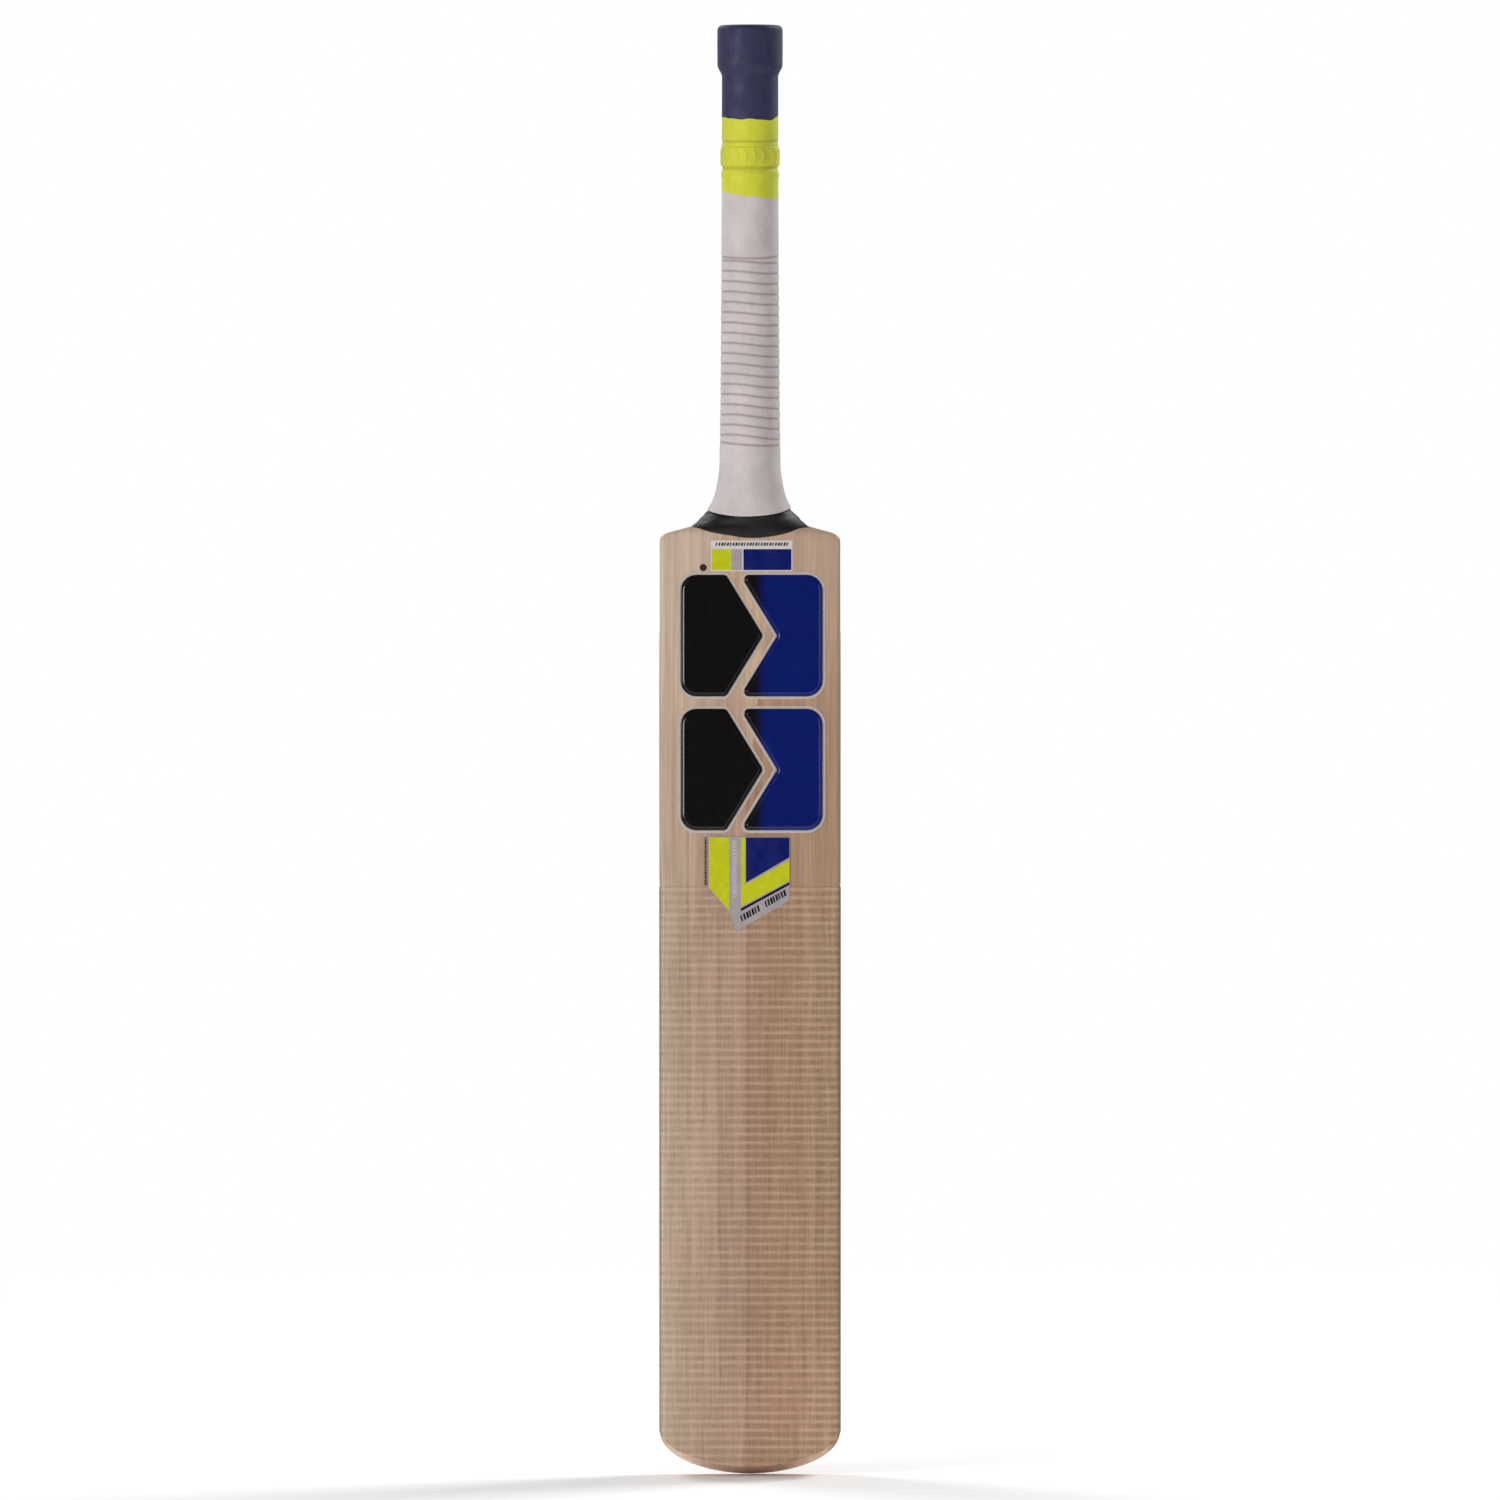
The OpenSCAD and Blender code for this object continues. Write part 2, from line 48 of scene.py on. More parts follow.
# ---------- The blade's shape, as in the part's source ----------
HALF_W, DEPTH_MID = 53.5, 26.2
TOE_RISE, TOE_TILT, TOE_FADE, TOE_ROUND = 21.5, 5.5, 60.0, 3.0
CROWN, FACE_R, BACK_R, RIDGE_SOFT = 0.8, 3.0, 5.0, 0.12
SHEET_TOP, SHEET_WRAP, BODY_TOP, NECK_TOP = 349.0, 10.0, 549.0, 602.0
# Height, then the depths of the face, the edge's back corner and the spine
STATIONS = np.array([
    [0, -5.5, 21, 22.5], [30, -4.2, 26.5, 31.5], [60, -2.7, 32, 41], [90, -1.2, 36, 52],
    [120, -0.2, 38.8, 61], [150, 0, 39.5, 65.5], [185, 0, 40, 67], [230, 0, 39, 66],
    [290, -0.6, 35, 63], [350, -1.5, 28.5, 57.5], [410, -2.4, 22, 51], [470, -3.1, 16.5, 45],
    [530, -3.9, 11.5, 39], [560, -4, 10.5, 37], [568, -3.2, 14, 35.6], [573, -2.5, 16, 34.6],
    [580, -1.7, 17, 33.3], [590, -1.1, 17, 31.9], [602, -0.7, 17, 30.4]])
# Height, how far the outline has come in, and how round the section is
SHOULDER = np.array([
    [549, 0, 0], [554.5, 0.1, 0], [556.6, 0.9, 0.03], [558.6, 3.5, 0.1], [561, 11, 0.35],
    [563.4, 18.5, 0.65], [568, 24.9, 1], [573, 30.1, 1], [580, 33.9, 1], [590, 36.5, 1],
    [602, 37.9, 1]])


def curve(table, column, at):
    """A smooth curve through one column of a table."""
    zs, v, at = table[:, 0], table[:, column], np.clip(at, table[0, 0], table[-1, 0])
    n = np.arange(len(zs))
    lo, hi = np.maximum(n - 1, 0), np.minimum(n + 1, len(zs) - 1)
    slope = (v[hi] - v[lo]) / (zs[hi] - zs[lo])
    i = np.clip(np.searchsorted(zs, at) - 1, 0, len(zs) - 2)
    h = zs[i + 1] - zs[i]
    u = (at - zs[i]) / h
    return ((2 * u**3 - 3 * u**2 + 1) * v[i] + (u**3 - 2 * u**2 + u) * slope[i] * h
            + (3 * u**2 - 2 * u**3) * v[i + 1] + (u**3 - u**2) * slope[i + 1] * h)


def ridge(t):
    """The back's rise: 1 at the spine (t = 0), softly peaked, and 0 where t is -1 or 1."""
    top = math.sqrt(1 + RIDGE_SOFT**2)
    return (top - np.sqrt(t**2 + RIDGE_SOFT**2)) / (top - RIDGE_SOFT)


def smooth(lo, hi, x):
    """Goes from 0 to 1 with a soft start and end as x goes from lo to hi."""
    t = np.clip((x - lo) / (hi - lo), 0, 1)
    return t * t * (3 - 2 * t)


# Columns round the blade: kind of stretch, and the place along it
FLAT_T = np.linspace(-1, 1, 73)
FLAT_T = FLAT_T * (0.45 + 0.55 * np.abs(FLAT_T))
WALL_U = np.array([0.25, 0.5, 0.75])
STRETCHES = [
    ("face", FLAT_T), ("front_right", np.radians(np.arange(-80, 1, 10))),
    ("right", np.concatenate([[0], WALL_U])), ("back_right", np.radians(np.arange(0, 76, 15))),
    ("back", FLAT_T), ("back_left", np.radians(np.arange(105, 181, 15))),
    ("left", np.concatenate([WALL_U[::-1], [0]])), ("front_left", np.radians(np.arange(180, 261, 10)))]
KIND = np.concatenate([[name] * len(p) for name, p in STRETCHES])
PLACE = np.concatenate([p for _, p in STRETCHES])
RING = len(PLACE)
RIGHT_WRAP = int(np.flatnonzero(KIND == "right")[0])
LEFT_WRAP = int(np.flatnonzero(KIND == "left")[-1])


def ring(z, inset, hw):
    """x and depth of every column. Each argument is a number or one value for each column."""
    z = np.broadcast_to(np.asarray(z, float), (RING,))
    w = hw - inset
    f, e, s = curve(STATIONS, 1, z) + inset, curve(STATIONS, 2, z) - inset, curve(STATIONS, 3, z) - inset
    rf, rb = np.maximum(FACE_R - inset, 0.5), np.maximum(BACK_R - inset, 0.5)
    wf, wb, cf, cb = w - rf, w - rb, f + CROWN + rf, e - rb
    wall = f + np.minimum(SHEET_WRAP, (e - f) / 2)
    side, c, n = wall + (cb - wall) * PLACE, np.cos(PLACE), np.sin(PLACE)
    zero = np.zeros(RING)
    xs = {"face": PLACE * wf, "front_right": wf + rf * c, "right": w + zero, "back_right": wb + rb * c,
          "back": -PLACE * wb, "back_left": -wb + rb * c, "left": zero - w, "front_left": -wf + rf * c}
    ys = {"face": f + CROWN * PLACE**4, "front_right": cf + rf * n, "right": side,
          "back_right": cb + rb * n, "back": e + (s - e) * ridge(PLACE), "back_left": cb + rb * n,
          "left": side, "front_left": cf + rf * n}
    picks = [KIND == k for k in xs]
    return np.select(picks, list(xs.values())), np.select(picks, [ys[k] for k in xs])


def body(z, grow=0.0, inset=0.0):
    """Points of the blade and neck at height z, grown outward. z and grow may differ by column."""
    z = np.broadcast_to(np.asarray(z, float), (RING,))
    inset = inset - grow
    hw = HALF_W - np.where(z > BODY_TOP, curve(SHOULDER, 1, z), 0)
    rounded = np.where(z > BODY_TOP, np.clip(curve(SHOULDER, 2, z), 0, 1), 0)
    x, y = ring(z, inset, hw)
    w, f, s = hw - inset, curve(STATIONS, 1, z) + inset, curve(STATIONS, 3, z) - inset
    lift = np.maximum(0, 1 - z / TOE_FADE) * (
        TOE_RISE * (1 - np.sqrt(np.maximum(0, 1 - (x / w) ** 2))) + TOE_TILT * (s - y) / (s - f))
    if lift.max() > 0:
        x, y = ring(z + lift, inset, hw)
    mid, deep = (f + s) / 2, (s - f) / 2
    a = np.arctan2((y - mid) / deep, x / w)
    x, y = x + (w * np.cos(a) - x) * rounded, y + (mid + deep * np.sin(a) - y) * rounded
    return np.column_stack([x, y - DEPTH_MID, z + lift])


def face_depth(x, z):
    """Depth of the striking face's surface."""
    flat = HALF_W - FACE_R
    over = np.clip(np.abs(x) - flat, 0, FACE_R)
    return (curve(STATIONS, 1, z) + CROWN * np.minimum(np.abs(x) / flat, 1) ** 4
            + FACE_R - np.sqrt(FACE_R**2 - over**2))


def back_depth(x, z):
    """Depth of the back's surface."""
    flat = HALF_W - BACK_R
    over = np.clip(np.abs(x) - flat, 0, BACK_R * 0.99)
    e, s = curve(STATIONS, 2, z), curve(STATIONS, 3, z)
    return e + (s - e) * ridge(np.minimum(np.abs(x) / flat, 1)) - BACK_R + np.sqrt(BACK_R**2 - over**2)


# ---------- Meshes ----------
def grid(rows, cols, wrap_rows=False, wrap_cols=False, base=0, flip=False):
    """The four-sided faces of a grid of points whose first point has the number base."""
    r, c = np.meshgrid(np.arange(rows if wrap_rows else rows - 1),
                       np.arange(cols if wrap_cols else cols - 1), indexing="ij")
    r2, c2 = (r + 1) % rows, (c + 1) % cols
    q = np.stack([r * cols + c, r * cols + c2, r2 * cols + c2, r2 * cols + c], -1).reshape(-1, 4) + base
    return (q[:, ::-1] if flip else q).tolist()


def dress(mesh, crease):
    mesh.shade_smooth()
    mesh.set_sharp_from_angle(angle=math.radians(crease))


def new_object(name, data):
    obj = bpy.data.objects.new(name, data)
    bpy.context.scene.collection.objects.link(obj)
    return obj


def show(name, mesh, paints, crease):
    """An object from a mesh; its shading is soft where faces meet at less than the crease."""
    for paint in paints:
        mesh.materials.append(paint)
    dress(mesh, crease)
    return new_object(name, mesh)


def solid(name, points, faces, paints, crease=40):
    """A mesh object from points in millimetres."""
    mesh = bpy.data.meshes.new(name)
    mesh.from_pydata((np.asarray(points, float).reshape(-1, 3) * MM).tolist(), [], faces)
    return show(name, mesh, paints, crease)


def shell(name, outer, inner, paints, wrap_cols=False, crease=40):
    """A closed thin solid between two grids of points of one size."""
    rows, cols = outer.shape[:2]
    base = rows * cols
    faces = grid(rows, cols, False, wrap_cols) + grid(rows, cols, False, wrap_cols, base, True)
    for c in range(cols if wrap_cols else cols - 1):
        d, last = (c + 1) % cols, (rows - 1) * cols
        faces += [[c, base + c, base + d, d], [last + c, last + d, base + last + d, base + last + c]]
    if not wrap_cols:
        for r in range(rows - 1):
            a, b = r * cols, (r + 1) * cols
            faces += [[a, b, base + b, base + a],
                      [a + cols - 1, base + a + cols - 1, base + b + cols - 1, b + cols - 1]]
    return solid(name, np.concatenate([outer.reshape(-1, 3), inner.reshape(-1, 3)]), faces, paints, crease)


def piece(obj, nodes):
    """Hands a mesh to the frame in place of the CAD nodes that it stands for."""
    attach(obj, "root")
    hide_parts(*nodes)


# ---------- Materials ----------
def colour(r, g, b, shade=1.0):
    """Linear colour from 0-255 values as seen, times a shade."""
    def lin(v):
        v /= 255
        return v / 12.92 if v <= 0.04045 else ((v + 0.055) / 1.055) ** 2.4
    return (lin(r) * shade, lin(g) * shade, lin(b) * shade, 1.0)


class Paint:
    """A node material under construction; its textures are laid out in the row frame."""

    def __init__(self, name):
        self.material = bpy.data.materials.new(name)
        self.material.use_nodes = True
        self.tree = self.material.node_tree
        self.tree.nodes.clear()
        self.shader = self.node("BsdfPrincipled")
        self.node("OutputMaterial", self.shader.outputs[0])
        around = self.node("TexCoord").outputs
        self.place = around["Object"]
        self.x, self.y, self.z = self.split(self.place)
        self.upward = self.split(around["Normal"])[2]

    def put(self, socket, value):
        if isinstance(value, bpy.types.NodeSocket):
            self.tree.links.new(value, socket)
        else:
            socket.default_value = value

    def node(self, kind, *values, **named):
        """A new node whose inputs are filled by place or by name."""
        node = self.tree.nodes.new("ShaderNode" + kind)
        for socket, value in zip(node.inputs, values):
            self.put(socket, value)
        for name, value in named.items():
            self.put(node.inputs[name], value)
        return node

    def split(self, vector):
        return self.node("SeparateXYZ", vector).outputs

    def math(self, operation, *values):
        node = self.node("Math", *values)
        node.operation = operation
        return node.outputs[0]

    def times(self, product, *factors):
        for factor in factors:
            product = self.math("MULTIPLY", product, factor)
        return product

    def length(self, a, b):
        return self.math("SQRT", self.math("ADD", self.times(a, a), self.times(b, b)))

    def wander(self, value, noise, reach):
        """A value that a noise moves by up to half of reach either way."""
        return self.math("ADD", value, self.times(self.math("SUBTRACT", noise, 0.5), reach))

    def off_middle(self, stripes):
        """How far each point is from the middle of its stripe (0 to 0.5), from a running count of stripes."""
        return self.math("ABSOLUTE", self.math("SUBTRACT", self.math("FRACT", stripes), 0.5))

    def scaled(self, scale, shift=(0, 0, 0)):
        return self.node("Mapping", self.place, Scale=scale, Location=shift).outputs[0]

    def noise(self, scale, detail=3.0, rough=0.5, shift=(0, 0, 0)):
        place = self.scaled(scale, shift)
        return self.node("TexNoise", Vector=place, Scale=1.0, Detail=detail, Roughness=rough).outputs[0]

    def span(self, value, lo, hi, out_lo=0.0, out_hi=1.0):
        """Goes softly from out_lo to out_hi as value goes from lo to hi."""
        node = self.node("MapRange", value, lo, hi, out_lo, out_hi)
        node.interpolation_type = "SMOOTHSTEP"
        return node.outputs[0]

    def ramp(self, value, stops):
        node = self.node("ValToRGB", value)
        items = node.color_ramp.elements
        while len(items) < len(stops):
            items.new(0.5)
        for item, (at, shade) in zip(items, stops):
            item.position, item.color = at, shade
        return node.outputs[0]

    def mix(self, amount, a, b, kind="MIX"):
        node = self.node("Mix", amount)
        node.data_type, node.blend_type = "RGBA", kind
        self.put(node.inputs[6], a)
        self.put(node.inputs[7], b)
        return node.outputs[2]

    def dim(self, paint, level):
        """Multiplies a colour by a level."""
        grey = self.node("CombineColor", level, level, level).outputs[0]
        return self.mix(1.0, paint, grey, "MULTIPLY")

    def shade_by(self, paint, noise, lo, hi):
        """Multiplies a colour by lo to hi as a noise goes over its usual range."""
        return self.dim(paint, self.span(noise, 0.3, 0.7, lo, hi))

    def bump(self, height, distance, strength=1.0, after=None):
        node = self.node("Bump", strength, distance, Height=height)
        if after is not None:
            self.put(node.inputs["Normal"], after)
        return node.outputs[0]

    def attribute(self, name):
        node = self.node("Attribute")
        node.attribute_name = name
        return node.outputs["Fac"]

    def done(self, base, roughness, normal=None, **values):
        self.put(self.shader.inputs["Base Color"], base)
        self.put(self.shader.inputs["Roughness"], roughness)
        if normal is not None:
            self.put(self.shader.inputs["Normal"], normal)
        for name, value in values.items():
            self.put(self.shader.inputs[name.replace("_", " ")], value)
        return self.material


LIT = 0.80  # how much of a colour seen in the studio light is the surface's own
RINGS, THREADS, STITCHES = 118, 200.0, 870.0  # lines in a metre of wood or film
SEAL_X, SEAL_Z, SEAL_R = 17.7, 544.8, 7.3
# Where each knot is and its radius; knots are longer up the blade than they are wide
KNOTS = [(53.5, -18.5, 239, 2.6), (-24, 18, 176, 2.2), (31, 12, 236, 1.8), (-53.5, -12, 331, 2.2),
         (18, 26, 330, 1.5)]
KNOT_SQUEEZE = 0.55


def growth_lines(p, base, across):
    """Darker lines along the blade that bend a little and come and go."""
    rings = p.times(p.math("ADD", across, p.times(p.y, 0.06)), RINGS)
    line = p.span(p.off_middle(rings), 0.02, 0.2, 1.0, 0.0)
    line = p.times(line, p.span(p.noise((40, 40, 5), 2, shift=(9, 4, 2)), 0.4, 0.7))
    return p.mix(p.times(line, 0.32), base, colour(146, 108, 80))


def flecks(p, base):
    """Pores, darker than the wood, and short pale flecks."""
    dark = p.span(p.noise((430, 140, 55), 2, 0.5, (5, 5, 5)), 0.66, 0.78)
    base = p.mix(p.times(dark, 0.28), base, colour(128, 92, 68))
    pale = p.span(p.noise((260, 70, 20), 2, 0.5, (1, 7, 3)), 0.62, 0.8)
    return p.mix(p.times(pale, 0.15), base, colour(212, 190, 168))


def knots(p, base):
    for x, y, z, r in KNOTS:
        middle = (x * MM, y * MM, z * KNOT_SQUEEZE * MM)
        node = p.node("VectorMath", p.scaled((1, 1, KNOT_SQUEEZE)), middle)
        node.operation = "DISTANCE"
        off = p.math("ADD", node.outputs["Value"], p.times(p.noise((900, 900, 500), 2), 0.0016))
        shown = p.span(off, (r * 0.5 + 0.8) * MM, (r + 1.4) * MM, 0.62, 0.0)
        base = p.mix(shown, base, colour(112, 74, 50))
    return base


def threads(p, base):
    """Pale threads across the film, each a row of short stitches: the colour, and where thread stands up."""
    up = p.times(p.wander(p.z, p.noise((35, 35, 35), 1), 0.0007), THREADS)
    off = p.off_middle(up)
    round_edge = p.math("ADD", p.x, p.times(p.y, p.math("SIGN", p.x)))
    along = p.math("ADD", p.times(round_edge, STITCHES), p.times(p.math("FLOOR", up), 0.37))
    stitch = p.span(p.off_middle(along), 0.1, 0.5, 1.0, 0.62)
    worn = p.span(p.noise((60, 60, 200), 2, shift=(4, 4, 4)), 0.30, 0.62, 0.35, 1.0)
    thread = p.times(p.span(off, 0.0, 0.34, 1.0, 0.0), stitch, worn)
    patchy = p.times(p.span(p.noise((260, 260, 200), 3, 0.6), 0.42, 0.66), p.span(p.x, -0.03, 0.05, 0.6, 1.0))
    between = p.times(p.span(off, 0.2, 0.45), patchy)
    base = p.mix(p.times(between, 0.42), base, colour(118, 86, 62))
    base = p.mix(p.times(thread, 0.40), base, colour(202, 178, 152))
    # the film's dark edge line along the rounded edges, begun further in as painted shade over the corner's
    # highlight
    bend = p.span(p.math("ABSOLUTE", p.x), 0.0515, 0.0530)
    base = p.mix(p.times(bend, 0.5), base, colour(112, 102, 88))
    weave = p.span(p.off_middle(p.times(p.z, STITCHES)), 0.0, 0.5, 0.96, 1.035)
    return p.dim(base, weave), thread


def willow(name, sheet):
    p = Paint(name)
    across = p.wander(p.x, p.noise((7, 3, 2.2), 2), 0.012)
    base = p.ramp(p.span(across, -0.054, 0.054), [
        (0.00, colour(173, 150, 129)), (0.10, colour(171, 146, 124)), (0.16, colour(168, 140, 120)),
        (0.40, colour(167, 137, 117)), (0.455, colour(166, 135, 114)), (0.475, colour(155, 122, 98)),
        (0.62, colour(154, 120, 95)), (0.86, colour(157, 124, 98)), (0.95, colour(162, 131, 105)),
        (1.00, colour(157, 126, 100))])
    base = p.shade_by(base, p.noise((30, 12, 7), 3, 0.6), 0.94, 1.06)
    base = p.shade_by(base, p.noise((190, 50, 3.5), 4, 0.62), 0.87, 1.11)
    base = p.shade_by(base, p.noise((1000, 260, 26), 3, 0.6, (3, 1, 0)), 0.87, 1.11)
    base = knots(p, flecks(p, growth_lines(p, base, across)))
    normal = p.bump(p.noise((1500, 380, 22), 3, 0.65, (2, 8, 1)), 0.00012, 0.35)
    rough = p.span(p.noise((160, 160, 12), 2), 0.3, 0.7, 0.46, 0.6)
    if sheet:
        base, thread = threads(p, p.mix(1.0, base, (0.93, 0.92, 0.91, 1), "MULTIPLY"))
        normal = p.bump(thread, 0.00016, 0.6, normal)
        rough = p.math("SUBTRACT", rough, 0.06)
    base = p.dim(base, LIT)
    # the blade's top and toe are a little lighter than the hitting area, and its underside lighter still; the
    # top's lift is partly painted light that makes up for the low lamps, and the underside's is painted
    # bounce light from the floor
    base = p.mix(p.span(p.z, 0.42, 0.55, 0.0, 0.28), base, colour(186, 170, 156, LIT))
    # painted light in this factor: the top lifted for the low lamps, and faces turned down lit as if by the
    # floor
    lift_and_painted_light = p.times(p.span(p.z, 0.36, 0.55, 1.0, 1.15), p.span(p.z, 0.02, 0.12, 1.14, 1.0),
                    p.span(p.upward, -0.9, -0.3, 1.75, 1.0))
    return p.done(p.dim(base, lift_and_painted_light), rough, normal, Specular_IOR_Level=0.3)


def cane_paint(name, tint):
    """Fine lengthwise fibres with darker ones among them."""
    p = Paint(name)
    base = p.shade_by(colour(*tint, LIT), p.noise((420, 420, 6), 4, 0.6), 0.82, 1.12)
    base = p.shade_by(base, p.noise((2600, 2600, 60), 3, 0.6), 0.85, 1.08)
    dark = p.span(p.noise((1500, 1500, 18), 2, shift=(3, 3, 3)), 0.62, 0.75)
    base = p.mix(p.times(dark, 0.3), base, colour(120, 84, 50, LIT))
    return p.done(base, p.span(p.noise((90, 90, 30)), 0.3, 0.7, 0.5, 0.65),
                  p.bump(p.noise((2200, 2200, 40)), 0.00015, 0.4))


def rubber(name, tint, dirt_and_shade):
    """Matte rubber with a fine skin; smudges and specks have the dirt colour, and the grooves too, where it
    is dirt and painted shade.
    """
    p = Paint(name)
    dirt_and_shade = colour(*dirt_and_shade, LIT)
    base = p.shade_by(colour(*tint, LIT), p.noise((70, 70, 45), 4, 0.6), 0.92, 1.06)
    base = p.shade_by(base, p.noise((900, 900, 900), 2), 0.97, 1.03)
    smudge = p.span(p.noise((110, 110, 60), 4, 0.65, (6, 2, 9)), 0.56, 0.76)
    base = p.mix(p.times(smudge, 0.22), base, dirt_and_shade)
    # dirt and painted shade in the grooves and in the band's recesses
    base = p.mix(p.times(p.attribute("groove"), 0.75), base, dirt_and_shade)
    specks = p.span(p.noise((700, 700, 700), 1, 0.5, (8, 3, 1)), 0.72, 0.8)
    base = p.mix(p.times(specks, 0.2), base, dirt_and_shade)
    fine = p.bump(p.noise((1600, 1600, 1600)), 0.00012, 0.6)
    normal = p.bump(p.noise((120, 120, 60), 3, shift=(2, 5, 5)), 0.0004, 0.25, fine)
    return p.done(base, p.span(p.noise((200, 200, 120)), 0.3, 0.7, 0.62, 0.78), normal, Sheen_Weight=0.08)


def tape_paint(name):
    """Black cloth tape with dust and soft folds."""
    p = Paint(name)
    base = p.shade_by(colour(26, 22, 22, LIT), p.noise((60, 60, 140)), 0.85, 1.15)
    dust = p.span(p.noise((300, 300, 500), 4, 0.7, (5, 1, 5)), 0.62, 0.8)
    base = p.mix(p.times(dust, 0.12), base, colour(110, 104, 100, LIT))
    cloth = p.bump(p.noise((1800, 1800, 1800), 2), 0.00006, 0.4)
    normal = p.bump(p.noise((45, 45, 160), 3, 0.5, (1, 4, 4)), 0.0010, 0.5, cloth)
    rough = p.span(p.noise((90, 90, 160)), 0.3, 0.7, 0.50, 0.62)
    return p.done(base, rough, normal, Specular_IOR_Level=0.28)


def film(name, tint, rough=0.32):
    """Glossy printed film with faint print mottle and hairline scuffs."""
    p = Paint(name)
    base = p.shade_by(colour(*tint, LIT), p.noise((260, 260, 260)), 0.95, 1.05)
    scuff = p.span(p.noise((2200, 260, 150), 3, 0.7, (4, 6, 2)), 0.66, 0.76)
    base = p.mix(p.times(scuff, 0.05), base, colour(205, 205, 205, LIT))
    normal = p.bump(p.noise((90, 90, 60)), 0.0002, 0.15)
    rough = p.span(p.noise((150, 150, 90)), 0.3, 0.7, rough - 0.06, rough + 0.1)
    return p.done(base, rough, normal, Specular_IOR_Level=0.22)


def resin(name, dark, light=None, fade=(0.0, 0.016)):
    """Clear domed resin over print; the print may fade from dark to light with X."""
    p = Paint(name)
    base = colour(*dark, LIT)
    if light:
        edge = p.wander(p.x, p.noise((40, 40, 40)), 0.002)
        base = p.mix(p.span(edge, *fade), base, colour(*light, LIT))
    base = p.shade_by(base, p.noise((60, 60, 45)), 0.94, 1.05)
    dust = p.span(p.noise((900, 900, 900), 2, 0.6, (2, 2, 6)), 0.72, 0.8)
    base = p.mix(p.times(dust, 0.05), base, colour(150, 150, 155, LIT))
    normal = p.bump(p.noise((30, 30, 22), 1), 0.0004, 0.15)
    return p.done(base, p.span(p.noise((300, 300, 120)), 0.35, 0.7, 0.17, 0.24), normal,
                  Specular_IOR_Level=0.3, Coat_Weight=0.25, Coat_Roughness=0.08)


def foil(name):
    """Silver foil with a fine weave, and engraved rings and rays on the seal's disc."""
    p = Paint(name)
    dx = p.math("SUBTRACT", p.x, SEAL_X * MM)
    dz = p.math("SUBTRACT", p.z, SEAL_Z * MM)
    radius = p.length(dx, dz)
    rings = p.math("SINE", p.times(radius, 3400.0))
    swirl = p.math("ADD", p.times(p.math("ARCTAN2", dz, dx), 9.0), p.times(radius, 500.0))
    etched = p.span(p.times(rings, p.math("SINE", swirl)), -0.6, 0.6)
    weave = p.times(p.math("SINE", p.times(p.math("ADD", p.x, p.z), 2600.0)),
                    p.math("SINE", p.times(p.math("SUBTRACT", p.x, p.z), 2600.0)))
    plain = p.mix(p.span(weave, -0.8, 0.8), colour(170, 166, 166, LIT), colour(192, 188, 187, LIT))
    disc = p.mix(etched, colour(156, 156, 160, LIT), colour(208, 208, 211, LIT))
    disc = p.mix(p.span(radius, 5.9 * MM, 6.9 * MM, 0.0, 0.55), disc, colour(104, 102, 106, LIT))
    on_disc = p.span(radius, (SEAL_R - 0.3) * MM, SEAL_R * MM, 1.0, 0.0)
    base = p.shade_by(p.mix(on_disc, plain, disc), p.noise((180, 180, 180)), 0.85, 1.1)
    return p.done(base, p.span(p.noise((220, 220, 220)), 0.3, 0.7, 0.30, 0.44), p.bump(etched, 0.0001, 0.4),
                  Metallic=0.4)


WOOD = willow("willow_bare", False)
SHEET = willow("willow_under_sheet", True)
CANE = cane_paint("cane_outer", (186, 152, 122))
CANE_MIDDLE = cane_paint("cane_middle", (194, 162, 132))
SPRING = rubber("spring_rubber", (92, 52, 34), (60, 34, 24))
TWINE = cane_paint("twine_waxed", (214, 202, 176))
NAVY = rubber("grip_navy", (24, 27, 70), (42, 43, 74))
LIME = rubber("grip_lime", (192, 194, 30), (150, 142, 26))
GREY = rubber("grip_grey", (190, 180, 180), (138, 118, 118))
TAPE = tape_paint("tape_black")
RIM = film("badge_rim_grey", (179, 169, 160), 0.3)
BLACK = resin("badge_black", (10, 7, 6))
BLUE = resin("badge_blue", (9, 7, 10), (1, 20, 96), (0.002, 0.011))
SILVER = resin("badge_silver", (186, 181, 184))
YELLOW = film("print_yellow", (180, 184, 14))
PRINT_BLUE = film("print_blue", (1, 18, 92))
PRINT_BLACK = film("print_black", (9, 8, 9))
PRINT_NAVY = film("print_navy", (10, 8, 50))
PRINT_GREY = film("print_grey", (154, 145, 146))
PRINT_PALE = film("print_pale", (197, 191, 188))
PRINT_CREAM = film("print_cream", (216, 218, 160))
PRINT_FROST = film("print_frost", (176, 169, 170))
PRINT_BROWN = film("print_brown", (52, 33, 26))
FOIL = foil("foil_silver")

# ---------- Willow blade, cut for the splice ----------
SPLICE_Z, SPLICE_TIP = 428.0, 0.7
SPLICE_SLOPE = 15.4 / 128


def toe_inset(z):
    """How far the toe's rounded rim has come in at height z."""
    return TOE_ROUND - math.sqrt(max(0, TOE_ROUND**2 - (TOE_ROUND - z) ** 2))


def blade_heights():
    """Heights of the mesh rows in the toe's rounded rim and above it."""
    toe = TOE_ROUND * (1 - np.cos(np.radians(np.linspace(0, 90, 7))))
    return toe, np.concatenate([
        np.arange(5, 61, 2.5), np.arange(64, SHEET_TOP, 4.5), np.arange(SHEET_TOP, BODY_TOP, 5),
        np.arange(BODY_TOP, 573, 0.75), np.linspace(574, NECK_TOP, 16)])


